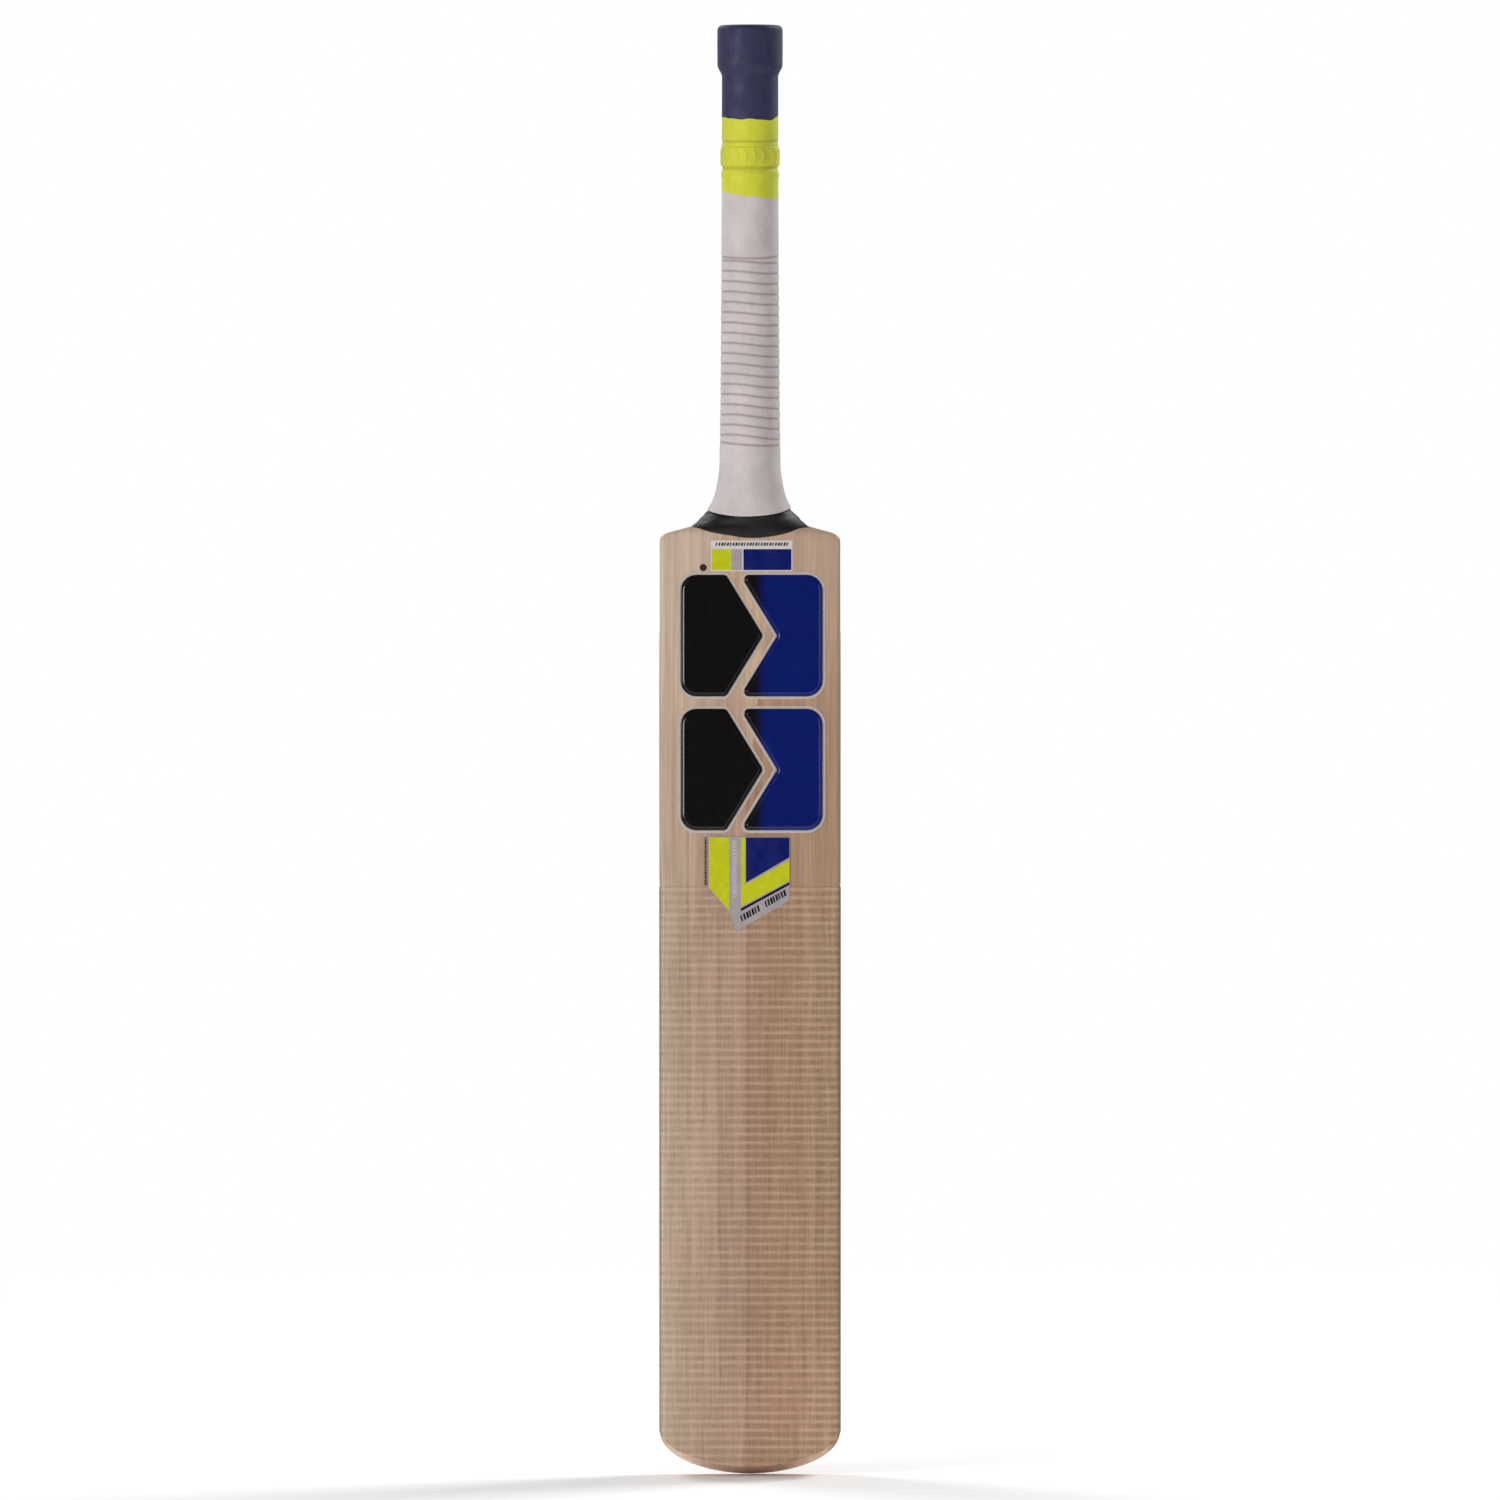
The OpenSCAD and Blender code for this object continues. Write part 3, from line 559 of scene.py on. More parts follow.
def cap(base, top):
    """Closes a ring with a strip between its face half and its back half."""
    front = [(LEFT_WRAP + i) % RING for i in range((RIGHT_WRAP - LEFT_WRAP) % RING + 1)]
    back = [(LEFT_WRAP - i) % RING for i in range((LEFT_WRAP - RIGHT_WRAP) % RING + 1)]
    faces = []
    for i in range(len(front) - 1):
        corners = [front[i], front[i + 1], back[i + 1], back[i]]
        corners = [base + c for k, c in enumerate(corners) if c not in corners[:k]]
        faces.append(corners if top else corners[::-1])
    return faces


def cut(obj, tool):
    """Cuts a closed tool mesh out of obj and removes the tool."""
    change = obj.modifiers.new("cut", "BOOLEAN")
    change.operation, change.solver, change.object = "DIFFERENCE", "EXACT", tool
    made = bpy.data.meshes.new_from_object(obj.evaluated_get(bpy.context.evaluated_depsgraph_get()))
    obj.modifiers.clear()
    obj.data = made
    bpy.data.objects.remove(tool)


toe_rows, body_rows = blade_heights()
rounds = [body(z, inset=toe_inset(z)) for z in toe_rows]
skin = np.array(rounds + [body(z) for z in body_rows])
blade = solid("willow_blade", skin, grid(len(skin), RING, wrap_cols=True) + cap(0, False)
              + cap((len(skin) - 1) * RING, True), [WOOD], 50)
wedge_top = NECK_TOP + 10
reach = (wedge_top - SPLICE_Z) * SPLICE_SLOPE
corners = [(-SPLICE_TIP, SPLICE_Z), (SPLICE_TIP, SPLICE_Z), (reach, wedge_top), (-reach, wedge_top)]
wedge = solid("wedge", [(x, y, z) for y in (-90, 90) for x, z in corners],
              [[0, 1, 2, 3], [7, 6, 5, 4], [0, 4, 5, 1], [1, 5, 6, 2], [2, 6, 7, 3], [3, 7, 4, 0]], [WOOD])
cut(blade, wedge)
dress(blade.data, 50)
piece(blade, ["blade"])

# ---------- Face sheet ----------
sheet_cols = [(LEFT_WRAP + i) % RING for i in range((RIGHT_WRAP - LEFT_WRAP) % RING + 1)]


def sheet_layer(grow):
    toe = [body(z, grow, toe_inset(z))[sheet_cols] for z in toe_rows[3:]]
    rows = [body(z, grow)[sheet_cols] for z in body_rows if z <= SHEET_TOP]
    return np.array(toe + rows)


face_sheet = shell("face_sheet_threads", sheet_layer(0.32), sheet_layer(0.06), [SHEET])
piece(face_sheet, ["face_sheet"])

# ---------- Shoulder tape ----------
# The tape's lowest point, its bow's radius, the height where its way round is measured, and its top
TAPE_LOW, TAPE_BOW, TAPE_SIDE, TAPE_TOP = 555.4, 74.0, 570.0, 581.0


def ripple(a, terms):
    """A sum of sine waves round the bat, each (waves round, size, phase)."""
    return sum(size * np.sin(waves * a + phase) for waves, size, phase in terms)


def tape_mesh():
    """Tape whose lower edge bows down the blade, with a step where its second turn begins, and folds."""
    low = np.full(RING, BODY_TOP)
    for z in np.arange(BODY_TOP, TAPE_SIDE, 0.1):
        x = body(z)[:, 0]
        low = np.where((x**2 + (z - TAPE_LOW - TAPE_BOW) ** 2 > TAPE_BOW**2) & (low >= z - 0.15), z, low)
    around = body(TAPE_SIDE)
    a = np.arctan2(around[:, 1] + 8, around[:, 0])
    low = low + 1.8 * np.clip(np.sin(a), 0, 1) + ripple(a, [(3, 0.35, 0.4), (7, 0.22, 1.9), (13, 0.12, 0.2)])
    turn = 0.42 + ripple(a, [(1, 0.10, 2.0), (2, 0.07, 0.7), (5, 0.03, 0.1)])
    outer, inner = [], []
    for v in np.concatenate([[0, 0.015, 0.04], np.linspace(0.07, 1, 44)]):
        z = low + (TAPE_TOP - low) * v
        thick = 0.5 * smooth(-0.02, 0.05, v) + 0.42 * smooth(0, 0.05, v - turn)
        wave = v * 3.1 + ripple(a, [(2, 0.22, 0.3), (5, 0.12, 1.2), (9, 0.05, 2)])
        fold = 0.30 * np.sin(2 * math.pi * wave) * smooth(0.03, 0.2, v)
        thick = thick + fold * (0.6 + ripple(a, [(3, 0.4, 1.0), (4, 0.3, 4)]))
        outer.append(body(z, 0.2 + np.clip(thick, 0.15, 1.3)))
        inner.append(body(z, 0.12))
    return shell("shoulder_tape_wrapped", np.array(outer), np.array(inner), [TAPE], True, 50)


piece(tape_mesh(), ["shoulder_tape"])

# ---------- Grip ----------
LEAN, FOOT_DEPTH, FOOT_Z, HANDLE_L = math.radians(2.3), 15.9, 576.0, 283.6
# Up the handle: the grip's end, and the knob's radius, lower edge and rounding
GRIP_END, KNOB_R, KNOB_LOW, KNOB_ROUND = HANDLE_L + 0.3, 19.3, HANDLE_L - 25.2, 3
FLARE_TOP, FLARE_LOW, FLARE_LIFT, FLARE_OUT = 608.0, 569.3, 4.3, 2.35
SLEEVE_AT, SLEEVE_R = [27.5, 61, 119, 177, 250], [18.4, 17.9, 17.2, 16.8, 16.7]
RIB_TOP, RIB_PITCH, RIB_COUNT, RIB_DEPTH, RIB_HALF, RIB_CROWN = 143.7, 6.15, 18, 0.26, 1.2, 0.15
CHEVRONS, CHEVRON_AT, CHEVRON_OUT = 20, 206.0, 0.32
SEAM_HIGH, SEAM_LOW, TOP_LINE, LOW_LINE = 230.3, 183.9, 147.3, 36.2
# Steps moulded into the lime band: how far up the handle, and how far out
BAND_AT = [185, 193, 194.5, 196.5, 198, 199, 200.2, 201, 211, 211.8, 213.6, 215, 216.4, 231]
BAND_OUT = [0, 0, 0.3, 0.3, -0.1, -0.5, -0.3, 0.6, 0.6, 0, -0.1, -0.5, 0, 0]
TURN = np.linspace(-math.pi / 2, 1.5 * math.pi, 289)[:-1]


def leaned(x, y, along):
    """Points from places across and up the handle, which leans forward."""
    c, s = math.cos(LEAN), math.sin(LEAN)
    depth, height = FOOT_DEPTH + y * c - along * s, FOOT_Z + y * s + along * c
    return np.stack(np.broadcast_arrays(x, depth - DEPTH_MID, height), -1)


def top_line(a):
    return TOP_LINE + 1.5 * np.sin(a)


def groove_lines(a):
    """How far up the handle each groove lies, from the top one down; they tilt more toward the blade."""
    yield top_line(a)
    for k in range(RIB_COUNT):
        down = k / (RIB_COUNT - 1)
        tilt = (0.35 + 0.7 * down) * np.cos(a) + 1.4 * down**2 * np.sin(a) - 0.62 * np.sin(2 * a)
        yield RIB_TOP - RIB_PITCH * k - tilt
    yield LOW_LINE + 0.9 * np.sin(a) - 1.1 * np.cos(a)


def cane_r(along):
    return 15.2 - 1.2 * (along - 22) / (HANDLE_L - 22)


def grip_r(a, along):
    """Radius of the grip's outside and how deep in a groove or in a recess of the band each point is (0 to
    1), which sets dirt and painted shade there.
    """
    r = np.interp(along, SLEEVE_AT, SLEEVE_R)
    nearest = np.min([np.abs(along - at) for at in groove_lines(a)], axis=0)
    groove = 0.5 + 0.5 * np.cos(math.pi * np.minimum(nearest / RIB_HALF, 1))
    crown = RIB_CROWN * (1 - np.sin(math.pi / 2 * np.minimum(2 * nearest / RIB_PITCH, 1)))
    off = np.abs(along - top_line(a) - 1.4)
    swell = 0.16 * np.exp(-((off / 0.8) ** 2))
    band = np.interp(along, BAND_AT, BAND_OUT)
    mould = smooth(0.15, 0.5, -band)
    knob = smooth(KNOB_LOW - 5, KNOB_LOW + 2, along)
    full = KNOB_R + 0.12 * np.cos((along - KNOB_LOW - 14) / 9)
    uneven = ripple(a, [(2, 0.05, 0.4), (3, 0.04, 2)]) * (1 - knob)
    r = r + uneven - RIB_DEPTH * groove - crown + swell + band + chevrons(a, along)
    return r + (full - r) * knob, np.maximum(groove, mould * 0.8)


def chevrons(a, along):
    """How far the chevrons round the lime band stand out, in place of lettering."""
    across = (a / (2 * math.pi) * CHEVRONS) % 1
    up = np.abs(along - CHEVRON_AT)
    arm = smooth(0.17, 0.11, np.abs(across - 0.5 + 0.07 * (up - 2)))
    return CHEVRON_OUT * arm * smooth(4.1, 3.7, up)


def seam_high(a):
    """How far up the handle navy meets lime."""
    return SEAM_HIGH + 2.7 * np.sin(a) + ripple(a, [(3, 0.5, 1.0), (5, 0.4, 2.2), (11, 0.18, 0.3)])


def seam_low(a):
    """How far up the handle lime meets grey."""
    level = SEAM_LOW + 1.6 * np.sin(a) - 1.6 * np.cos(a)
    return level + ripple(a, [(2, 0.5, 0.2), (4, 0.45, 0.5), (9, 0.2, 1.1)])


def tube(name, rows, paint):
    """A closed tube from (points, groove) rows that run up the outside and down the inside."""
    points = np.array([p for p, _ in rows])
    obj = solid(name, points, grid(len(rows), len(TURN), True, True), [paint], 50)
    # each point's groove depth, which sets the rubber's dirt and painted shade
    dirt_and_shade = obj.data.attributes.new("groove", "FLOAT", "POINT")
    grooves = np.array([np.broadcast_to(g, TURN.shape) for _, g in rows])
    dirt_and_shade.data.foreach_set("value", grooves.ravel().astype(np.float32))
    return obj


def flatter(along):
    """How much narrower and deeper than round the grip's foot is."""
    k = smooth(130, 34, along)
    return -0.30 * k, 0.45 * k


def outside(along):
    r, groove = grip_r(TURN, along)
    dx, dy = flatter(along)
    return leaned((r + dx) * np.cos(TURN), (r + dy) * np.sin(TURN), along), groove


def inside(along, extra=0.85):
    r = cane_r(along) + extra
    return leaned(r * np.cos(TURN), r * np.sin(TURN), along), 0.0


def flare(u, out, bead=0.0):
    """The skirt over the shoulders: u runs from its lower edge (0) to where the round sleeve begins (1)."""
    c, s = np.cos(TURN), np.sin(TURN)
    low = FLARE_LOW + FLARE_LIFT * np.abs(c) ** 2.3 + 0.9 * s + 0.6 * c + ripple(TURN, [(6, 0.12, 2)])
    z = low + (FLARE_TOP - low) * u
    zn = np.minimum(z, NECK_TOP)
    w = HALF_W - curve(SHOULDER, 1, zn) + out + bead
    f, sp = curve(STATIONS, 1, zn), curve(STATIONS, 3, zn)
    skirt = np.stack([w * c, (f + sp) / 2 - DEPTH_MID + ((sp - f) / 2 + out + bead) * s, z], -1)
    along = (z - FOOT_Z) / math.cos(LEAN)
    r = np.interp(along, SLEEVE_AT, SLEEVE_R) + out - FLARE_OUT
    dx, dy = flatter(along)
    sleeve = leaned((r + dx) * c, (r + dy) * s, along)
    k = smooth(588, 607, z)[:, None]
    return skirt * (1 - k) + sleeve * k, 0.0


along_top = (FLARE_TOP - FOOT_Z) / math.cos(LEAN)
ribs = np.arange(along_top + 0.45, 150, 0.45)
rows = [flare(0.0, 1.3), flare(0.0, 1.7, 0.05), flare(0.012, 1.95, 0.1), flare(0.03, 2.0, 0.1)]
rows += [flare(u, FLARE_OUT - 0.4 * smooth(0.7, 0.1, u)) for u in np.linspace(0.06, 1, 32)]
rows += [outside(v) for v in ribs]
rows += [outside(150 + (seam_low(TURN) - 150) * v) for v in np.linspace(0, 1, 24)]
rows += [inside(seam_low(TURN) * v + 34 * (1 - v)) for v in np.linspace(1, 0, 8)]
rows += [flare(u, 0.9) for u in np.linspace(0.9, 0.0, 10)]
piece(tube("grip_sleeve_ribbed", rows, GREY), ["grip_sleeve"])

steps = np.linspace(0, 1, 132)
rows = [outside(seam_low(TURN) + 0.02 + (seam_high(TURN) - seam_low(TURN) - 0.04) * v) for v in steps]
rows += [inside(seam_high(TURN) * v + seam_low(TURN) * (1 - v)) for v in np.linspace(1, 0, 5)]
piece(tube("grip_band_moulded", rows, LIME), ["grip_band"])


def top_ring(r, along):
    return leaned(r * np.cos(TURN), r * np.sin(TURN), along), 0.0


def top_edge(angle):
    """The knob's rounded upper edge."""
    r, _ = grip_r(TURN, GRIP_END - KNOB_ROUND)
    a = math.radians(angle)
    return top_ring(r - KNOB_ROUND * (1 - math.cos(a)), GRIP_END - KNOB_ROUND * (1 - math.sin(a)))


knob_wall = GRIP_END - KNOB_ROUND
rows = [outside(seam_high(TURN) + (knob_wall - seam_high(TURN)) * v) for v in np.linspace(0, 1, 90)]
rows += [top_edge(d) for d in (15, 30, 45, 60, 75, 90)]
rows += [top_ring(r, GRIP_END - 0.25 * k) for k, r in enumerate((15.6, 14.9, 14.35))]
rows += [inside(GRIP_END - 1.2, 0.12), inside(GRIP_END - 5, 0.12), inside(GRIP_END - 5.2)]
rows += [inside(277 * (1 - v) + seam_high(TURN) * v) for v in np.linspace(0.05, 1, 4)]
piece(tube("grip_top_knob", rows, NAVY), ["grip_top"])


# ---------- Prints and badges, drawn flat and laid on the blade ----------
class Print:
    """Flat shapes in (across, thickness, height) that are then laid on a side of the blade."""

    def __init__(self, name, side, gap=0.08):
        self.name, self.side, self.paints, self.gap = name, side, [], gap
        self.bm = bmesh.new()

    def paint_index(self, paint):
        if paint not in self.paints:
            self.paints.append(paint)
        return self.paints.index(paint)

    def stack(self, loops, paints):
        """A closed solid from loops, each (points, height). Paints go between loops, the last one on top."""
        made = [[self.bm.verts.new((x, h, z)) for x, z in points] for points, h in loops]
        count = len(made[0])
        for low, high, paint in zip(made, made[1:], paints):
            for i in range(count):
                j = (i + 1) % count
                self.bm.faces.new((low[i], low[j], high[j], high[i])).material_index = self.paint_index(paint)
        ends = [self.bm.faces.new(made[0][::-1]), self.bm.faces.new(made[-1])]
        ends[0].material_index = self.paint_index(paints[0])
        ends[1].material_index = self.paint_index(paints[-1])

    def patch(self, outline, paint, low=0.0, high=0.2):
        self.stack([(outline, low), (outline, high)], [paint])

    def block(self, outline, paint):
        """A colour patch that stands on the label's base film."""
        self.patch(outline, paint, 0.12, 0.23)

    def thin(self, outlines, paint):
        """Print straight on the wood."""
        for outline in outlines:
            self.patch(outline, paint, 0.0, 0.12)

    def lay(self, nodes):
        """Cuts the flat shapes up finely enough to bend, and lays them on their side of the blade."""
        bm = self.bm
        xs, zs = [v.co.x for v in bm.verts], [v.co.z for v in bm.verts]
        if self.side == "back":
            half = np.concatenate([np.arange(0, 8, 1), np.arange(9, 19, 2), np.arange(20, 45, 4),
                                   np.arange(45, 52, 0.75)])
            cuts = np.concatenate([-half[:0:-1], half])
        else:
            cuts = np.arange(-52, 53, 6.5)
        planes = [((x, 0, 0), (1, 0, 0)) for x in cuts if min(xs) < x < max(xs)]
        planes += [((0, 0, z), (0, 0, 1)) for z in np.arange(2.5, 600, 5) if min(zs) < z < max(zs)]
        for at, way in planes:
            geometry = bm.verts[:] + bm.edges[:] + bm.faces[:]
            bmesh.ops.bisect_plane(bm, geom=geometry, plane_co=at, plane_no=way, dist=1e-4)
        flat = np.array([v.co for v in bm.verts])
        x, h, z = flat[:, 0], flat[:, 1] + self.gap, flat[:, 2]
        if self.side == "front":
            y = face_depth(x, z) - h
        elif self.side == "back":
            y = back_depth(x, z) + h
        else:
            x, y = (HALF_W + h) * (1 if self.side == "right" else -1), x
        for v, co in zip(bm.verts, np.column_stack([x, y - DEPTH_MID, z]) * MM):
            v.co = co
        bmesh.ops.triangulate(bm, faces=[f for f in bm.faces if len(f.verts) > 4])
        bmesh.ops.recalc_face_normals(bm, faces=bm.faces[:])
        mesh = bpy.data.meshes.new(self.name)
        bm.to_mesh(mesh)
        bm.free()
        piece(show(self.name, mesh, self.paints, 30), nodes)


def circle(x, z, r, count):
    turn = np.linspace(0, 2 * math.pi, count + 1)[:-1]
    return np.column_stack([x + r * np.cos(turn), z + r * np.sin(turn)])


def filleted(points, radii, steps=8):
    """An outline with each corner turned into an arc."""
    out = []
    n = len(points)
    for i, r in enumerate(radii):
        p, a, b = (np.array(points[k % n], float) for k in (i, i - 1, i + 1))
        u, v = (a - p) / np.linalg.norm(a - p), (b - p) / np.linalg.norm(b - p)
        half = math.acos(np.clip(u @ v, -1, 1)) / 2
        middle = p + (u + v) / np.linalg.norm(u + v) * r / math.sin(half)
        start, end = p + u * r / math.tan(half) - middle, p + v * r / math.tan(half) - middle
        for k in np.linspace(0, 1, steps):
            way = start * (1 - k) + end * k
            out.append(middle + way / np.linalg.norm(way) * r)
    return np.array(out)


def inset(points, by):
    """The outline moved inward; the points run counterclockwise."""
    back, ahead = points - np.roll(points, 1, 0), np.roll(points, -1, 0) - points
    back /= np.linalg.norm(back, axis=1)[:, None]
    ahead /= np.linalg.norm(ahead, axis=1)[:, None]
    n1, n2 = np.stack([-back[:, 1], back[:, 0]], 1), np.stack([-ahead[:, 1], ahead[:, 0]], 1)
    mid = n1 + n2
    return points + by * mid * (2 / (mid**2).sum(1))[:, None]


def half_block(left, low, size, corner, reach, slot, right, small=3.0):
    """One half of a rounded block that a chevron slot splits, its point toward +X."""
    half = size[1] / 2
    shift = (1 if right else -1) * slot / 2 * math.hypot(half, 2 * reach) / half
    mid, top = left + size[0] / 2 + shift, low + size[1]
    inner = [(mid - reach, top), (mid + reach, low + half), (mid - reach, low)]
    if right:
        return filleted([(left + size[0], low), (left + size[0], top)] + inner, [corner] * 2 + [small] * 3)
    return filleted([(left, top), (left, low)] + inner[::-1], [corner] * 2 + [small] * 3)


# How far in and how high: a rim film, a steep wall, a flat band and a raised middle
BADGE_STEPS = [(-1.6, 0), (-1.6, 0.2), (-0.05, 0.24), (0.0, 0.6), (0.1, 0.86), (0.3, 0.99), (0.6, 1.03),
               (1.8, 1.05), (1.95, 1.14), (2.2, 1.2), (2.6, 1.22)]


def badge(name, node, side, left, low, size, paint, right):
    """Half of a domed badge, with a rim film round it."""
    line = half_block(left, low, size, 9.5, 11, 7, right)
    made = Print(name, side)
    made.stack([(inset(line, d), h) for d, h in BADGE_STEPS], [RIM, RIM] + [paint] * (len(BADGE_STEPS) - 2))
    made.lay([node])


for side, left, lows, size in (("front", 0.9 - 42.1, (461.7, 382.4), (84.2, 72.0)),
                               ("back", 0.4 - 42.5, (450.7, 362.6), (85.0, 79.8))):
    for place, low in zip(("upper", "lower"), lows):
        for paint, word, right in ((BLACK, "black", False), (BLUE, "blue", True)):
            node = f"{side}_badge_{place}_{word}"
            badge(node + "_domed", node, side, left, low, size, paint, right)


def marks(at, to, count, height, fill, slant):
    """A row of slanted ticks that stands where small lettering would be."""
    at, to = np.array(at, float), np.array(to, float)
    way = (to - at) / np.linalg.norm(to - at)
    up = np.array([-way[1], way[0]])
    step = np.linalg.norm(to - at) / count
    for k in range(count):
        wide = step * fill * (0.75 + 0.5 * ((k * 7) % 5) / 5)
        p = at + way * step * k
        lean = way * height * slant
        yield [p, p + way * wide, p + way * wide + up * height + lean, p + up * height + lean]


# Front upper label
made = Print("front_top_print", "front")
made.patch([(-23.3, 535.8), (25.2, 535.8), (25.2, 554.1), (-23.3, 554.1)], PRINT_PALE)
for tick in marks((-20.6, 550.9), (23.0, 550.9), 26, 1.9, 0.62, 0.3):
    made.block(tick, PRINT_BLACK)
for left, right, paint in ((-22.7, -11.3, YELLOW), (-11.1, -4.7, PRINT_GREY), (-3.9, 24.5, PRINT_BLUE)):
    made.block([(left, 536.5), (right, 536.5), (right, 548.9), (left, 548.9)], paint)
made.lay(["front_top_label"])

# Front lower label
made = Print("front_lower_print", "front", 0.36)
made.patch([(-24.8, 378.6), (-24.8, 348.4), (-12, 333.3), (-8.4, 322.3), (23.5, 340.8), (23.5, 378.6)],
           PRINT_GREY)
made.block([(-24.3, 378.2), (-24.3, 348.7), (-12.4, 334.8), (-12.4, 378.2)], YELLOW)
made.block([(-5.4, 378.2), (-5.4, 337.3), (23.3, 352.6), (23.3, 364.8), (-3, 350.2), (-3, 378.2)], YELLOW)
made.block([(-2.4, 378.2), (-2.4, 351.4), (23.3, 366.4), (23.3, 378.2)], PRINT_BLUE)
made.block([(-5.4, 336.2), (-5.4, 334.5), (23.3, 350.1), (23.3, 351.8)], PRINT_NAVY)
for at, to, count in (((-4.8, 328.3), (6.6, 335.0), 7), ((9.6, 336.8), (22.0, 344.1), 8)):
    for tick in marks(at, to, count, 3.6, 0.66, 0.25):
        made.block(tick, PRINT_BLACK)
for tick in marks((-10.6, 343), (-10.6, 377), 26, -2.7, 0.6, 0.0):
    made.block(tick[::-1], PRINT_FROST)
made.thin(marks((-26.9, 378.2), (-26.9, 349.6), 24, 1.1, 0.7, 0.0), PRINT_BROWN)
made.lay(["front_lower_label"])

# Back upper label and the foil seal beside it
made = Print("back_top_print", "back")
made.patch([(-26.3, 533.8), (6.6, 533.8), (6.6, 554.4), (-26.3, 554.4)], PRINT_PALE)
for tick in marks((-24.6, 551.3), (5.4, 551.3), 20, 1.7, 0.62, 0.3):
    made.block(tick, PRINT_BLACK)
made.block([(-25.8, 534.4), (6.0, 534.4), (6.0, 549.3), (-25.8, 549.3)], PRINT_BLUE)
made.lay(["back_top_label"])

made = Print("foil_seal", "back")
made.patch(filleted([(8.9, 534.3), (26.7, 534.3), (26.7, 554.1), (8.9, 554.1)], [2] * 4), FOIL)
seal = circle(SEAL_X, SEAL_Z, SEAL_R, 48)
made.stack([(seal, 0.12), (seal, 0.24), (inset(seal, 0.35), 0.30), (inset(seal, 0.8), 0.27)], [FOIL] * 3)
made.lay(["hologram_label"])

# Back lower label
made = Print("back_lower_print", "back")
made.patch([(25.9, 358.8), (-23.9, 358.8), (-23.9, 284.5), (2, 306.6), (6.7, 302.2), (13.1, 296),
            (25.9, 285)], PRINT_GREY)
made.block([(25.6, 358.5), (13.1, 358.5), (13.1, 296.6), (25.6, 285.8)], YELLOW)
made.block([(6.7, 358.5), (3.9, 358.5), (3.9, 332.4), (-23.8, 310.4), (-23.8, 291.8), (6.7, 316.4)], YELLOW)
made.block([(3.2, 358.5), (-23.8, 358.5), (-23.8, 312.4), (3.2, 334.0)], PRINT_BLUE)
made.block([(6.7, 315.2), (-23.8, 290.6), (-23.8, 285.2), (2, 307.2), (6.7, 302.9)], PRINT_NAVY)
made.thin(marks((-26.9, 300), (-26.9, 357), 40, -1.1, 0.7, 0.0), PRINT_BROWN)
made.lay(["back_lower_label"])

# Labels along the back's edges
BACK_EDGE = [(51, 253), (42.6, 246), (41.3, 213.6), (32.2, 196), (39.1, 143.8), (42.5, 110.7), (47, 61),
             (51, 61)]
YELLOW_LINE = [(51, 243.6), (48.9, 242), (48.6, 212.4), (39.6, 197.2), (44.5, 138), (48.7, 101), (49.3, 101),
               (46.9, 138), (42.6, 196.9), (51, 211.3)]
BLACK_WEDGE = [(50.8, 210.2), (42.9, 196.8), (47.1, 138), (49.5, 103), (50.8, 99)]
for word, sign in (("right", 1), ("left", -1)):
    made = Print(f"back_edge_print_{word}", "back")
    for put, outline, paint in ((made.patch, BACK_EDGE, PRINT_GREY), (made.block, YELLOW_LINE, YELLOW),
                                (made.block, BLACK_WEDGE, PRINT_BLACK)):
        put([(sign * x, z) for x, z in outline], paint)
    made.lay([f"back_edge_label_{word}"])

# Labels on the flat of each edge
EDGE = [(0.8, 500), (11.6, 460), (17, 408), (13.3, 393.6), (11.6, 357), (6.4, 350.5), (4.6, 398)]
EDGE_YELLOW = [(0.9, 499), (9.6, 458), (14.4, 409), (10.6, 394.5), (8.4, 352), (6.7, 351.6), (5.6, 394.2),
               (11.6, 408.6), (7.2, 455)]
EDGE_BLACK = [(1.1, 497.6), (6.3, 456), (10.2, 409.4), (4.9, 397.5)]
for word in ("right", "left"):
    made = Print(f"edge_print_{word}", word)
    made.patch(EDGE, PRINT_GREY, 0.0, 0.12)
    made.patch(EDGE_YELLOW, YELLOW, 0.06, 0.15)
    made.patch(EDGE_BLACK, PRINT_BLACK, 0.06, 0.15)
    made.lay([f"edge_label_{word}"])

# Toe label and its raised blocks
TOE_PRINT = np.array([(-34.9, 17), (34.9, 17), (34.9, 58), (0, 70.6), (-34.9, 58)])
made = Print("toe_print", "back")
made.patch(TOE_PRINT, PRINT_NAVY)
made.block(inset(TOE_PRINT, 2.7), PRINT_CREAM)
made.patch(inset(TOE_PRINT, 4.4), PRINT_BLACK, 0.12, 0.26)
made.lay(["toe_label"])
for word, left in (("left", -28.1), ("right", 1.1)):
    for right in (False, True):
        node = f"toe_badge_{word}_{'outer' if (word == 'right') == right else 'inner'}"
        line = half_block(left, 24.7, (27, 24.5), 4, 4, 2.2, right, 1.6)
        made = Print(node + "_domed", "back", 0.36)
        steps = (0, 0), (0, 0.45), (0.2, 0.65), (0.6, 0.75), (1.2, 0.8)
        made.stack([(inset(line, d), h) for d, h in steps], [SILVER] * 4)
        made.lay([node])

# A small dark printed dot on each side
for name, side, x, z in (("dot_front", "front", -27.7, 538.0), ("dot_back", "back", -30.9, 536.7)):
    spot = circle(x, z, 2.1, 32)
    made = Print(name, side)
    steps = (0, 0), (0, 0.06), (0.3, 0.12), (1.2, 0.08)
    made.stack([(inset(spot, d), h) for d, h in steps], [PRINT_BROWN] * 3)
    made.lay([])

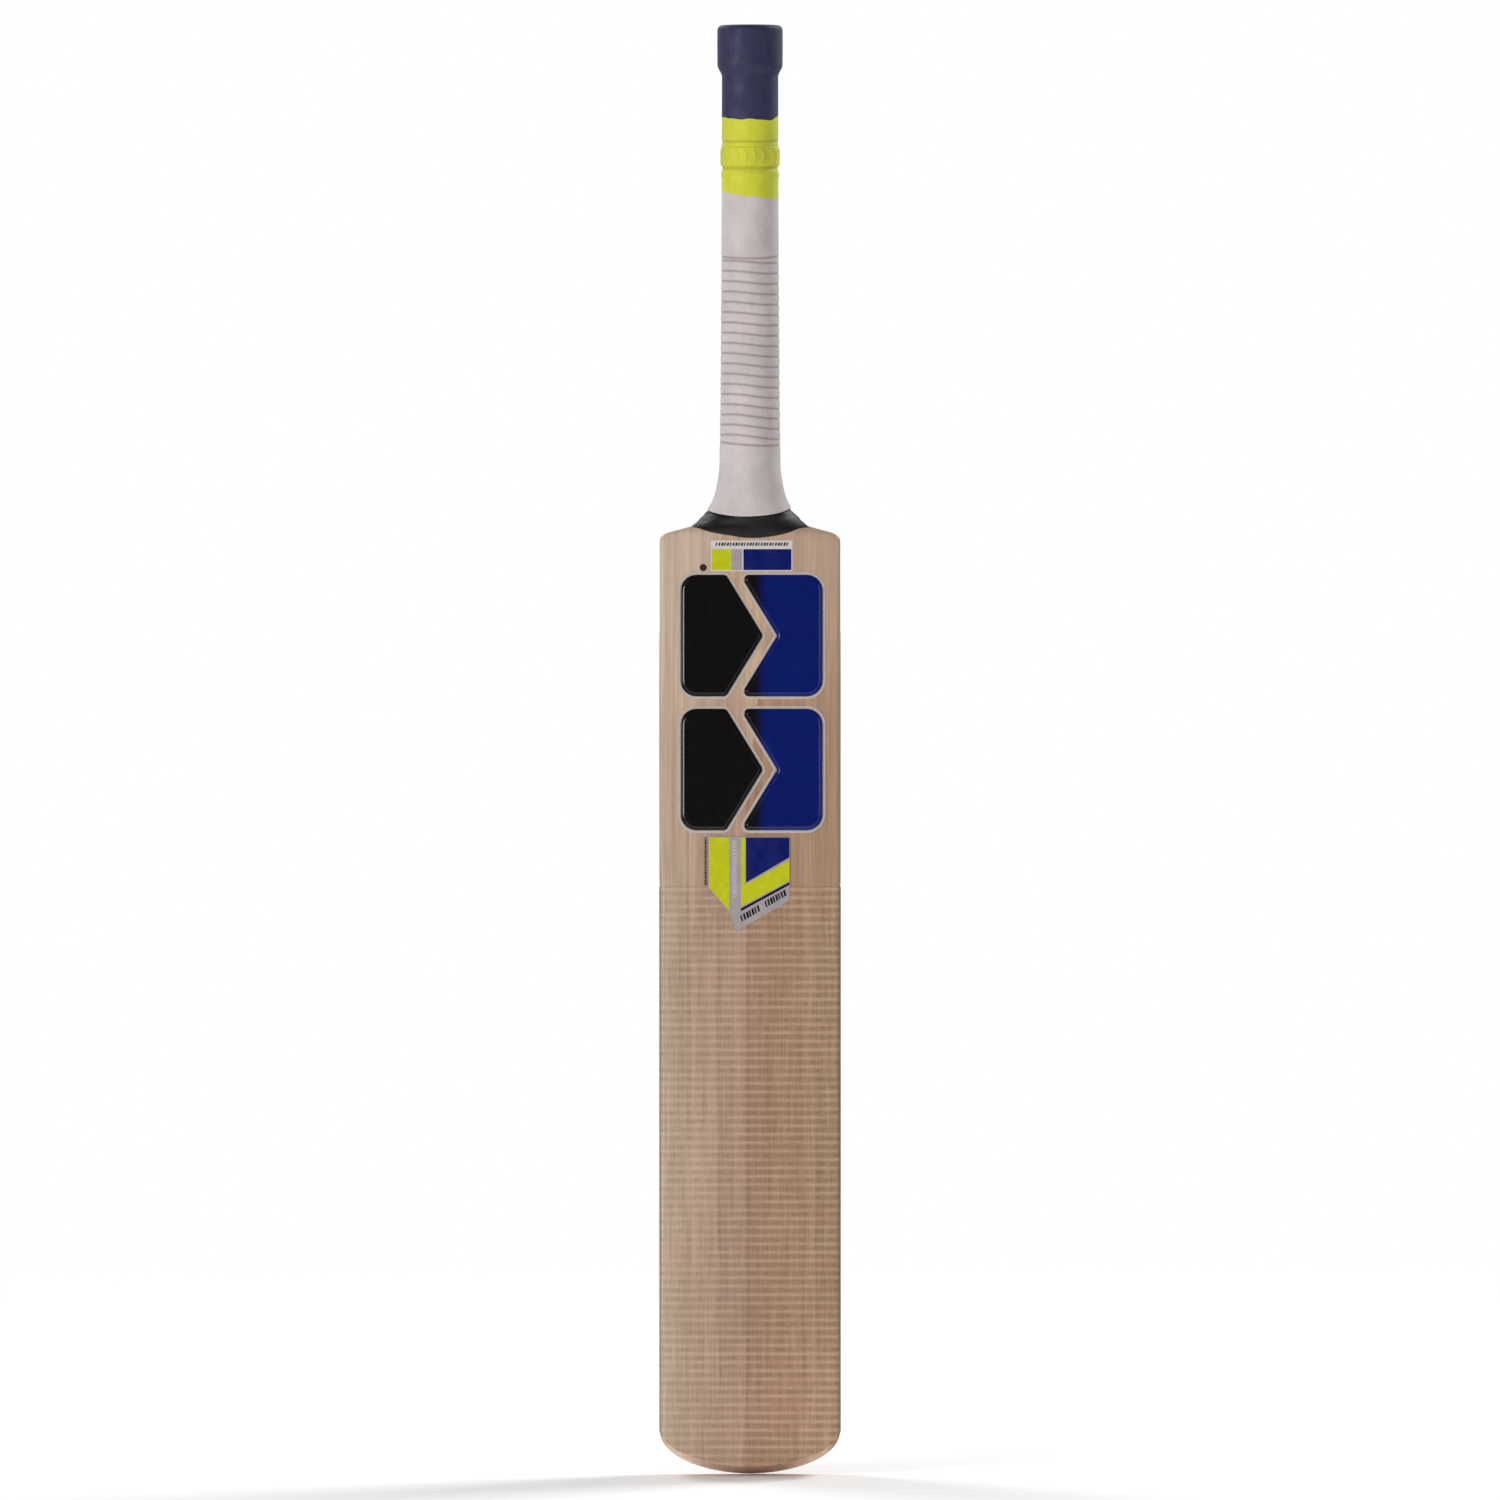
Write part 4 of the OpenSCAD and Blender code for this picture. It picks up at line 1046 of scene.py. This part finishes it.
# ---------- CAD pieces that are shown as they are ----------
for name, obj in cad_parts.items():
    if name.startswith("cane_"):
        paint, slot = (CANE_MIDDLE, "cane_middle") if name.endswith("middle") else (CANE, "cane")
    elif name.startswith("rubber_spring"):
        paint, slot = SPRING, "spring_rubber"
    elif name == "twine_binding":
        paint, slot = TWINE, "twine"
    else:
        continue
    obj.data.materials.clear()
    obj.data.materials.append(paint)

# ---------- Studio ----------
FLOOR_R, FLOOR_Z = 2800, -0.3


def floor_paint(name):
    """Pale, and fading out into the white surroundings, so there is no horizon."""
    p = Paint(name)
    p.put(p.shader.inputs["Alpha"], p.span(p.length(p.x, p.y), 0.5, 2.6, 1.0, 0.0))
    return p.done(p.shade_by((0.88, 0.88, 0.88, 1), p.noise((3, 3, 3)), 0.99, 1.01), 0.8)


disc = [(0, 0, FLOOR_Z)] + [(x, y, FLOOR_Z) for x, y in circle(0, 0, FLOOR_R, 128)]
slices = [[0, 1 + i, 1 + (i + 1) % 128] for i in range(128)]
solid("floor", disc, slices, [floor_paint("studio_floor")])


MIDDLE = Vector((0, 0, 0.43))


def lamp(name, at, size, power):
    """A round lamp that points at the bat's middle."""
    light = bpy.data.lights.new(name, "AREA")
    light.shape, light.size, light.energy = "DISK", size, power
    obj = new_object(name, light)
    obj.location = at
    obj.rotation_euler = (MIDDLE - Vector(at)).to_track_quat("-Z", "Y").to_euler()


lamp("key", (-2.6, -2.6, 0.62), 1.8, 107)
lamp("fill", (2.8, -2.4, 0.5), 2.6, 29)
lamp("back_left", (-1.7, 2.2, 2.9), 1.6, 52)
lamp("back_right", (2.3, 1.9, 2.7), 1.6, 96)
# Pale to the eye, softer as a light, and dim in reflections so that gloss stays deep
world = bpy.data.worlds.new("studio")
world.use_nodes = True
nodes, links = world.node_tree.nodes, world.node_tree.links
background = nodes["Background"]
rays = nodes.new("ShaderNodeLightPath")
level = nodes.new("ShaderNodeMath")
level.operation = "MULTIPLY_ADD"
level.inputs[1].default_value, level.inputs[2].default_value = 0.5, 0.5
dim = nodes.new("ShaderNodeMath")
dim.operation = "MULTIPLY_ADD"
dim.inputs[1].default_value = -0.42
links.new(rays.outputs["Is Camera Ray"], level.inputs[0])
links.new(rays.outputs["Is Glossy Ray"], dim.inputs[0])
links.new(level.outputs[0], dim.inputs[2])
links.new(dim.outputs[0], background.inputs["Strength"])
background.inputs["Color"].default_value = (1, 1, 1, 1)
scene = bpy.context.scene
scene.world = world
scene.view_settings.view_transform = "Standard"

camera = new_object("camera", bpy.data.cameras.new("camera"))
camera.data.lens, camera.data.sensor_width = 240, 36
camera.location = (0, -5.95, MIDDLE.z)
camera.rotation_euler = (math.radians(90), 0, 0)
camera.data.clip_end = 100
scene.camera = camera
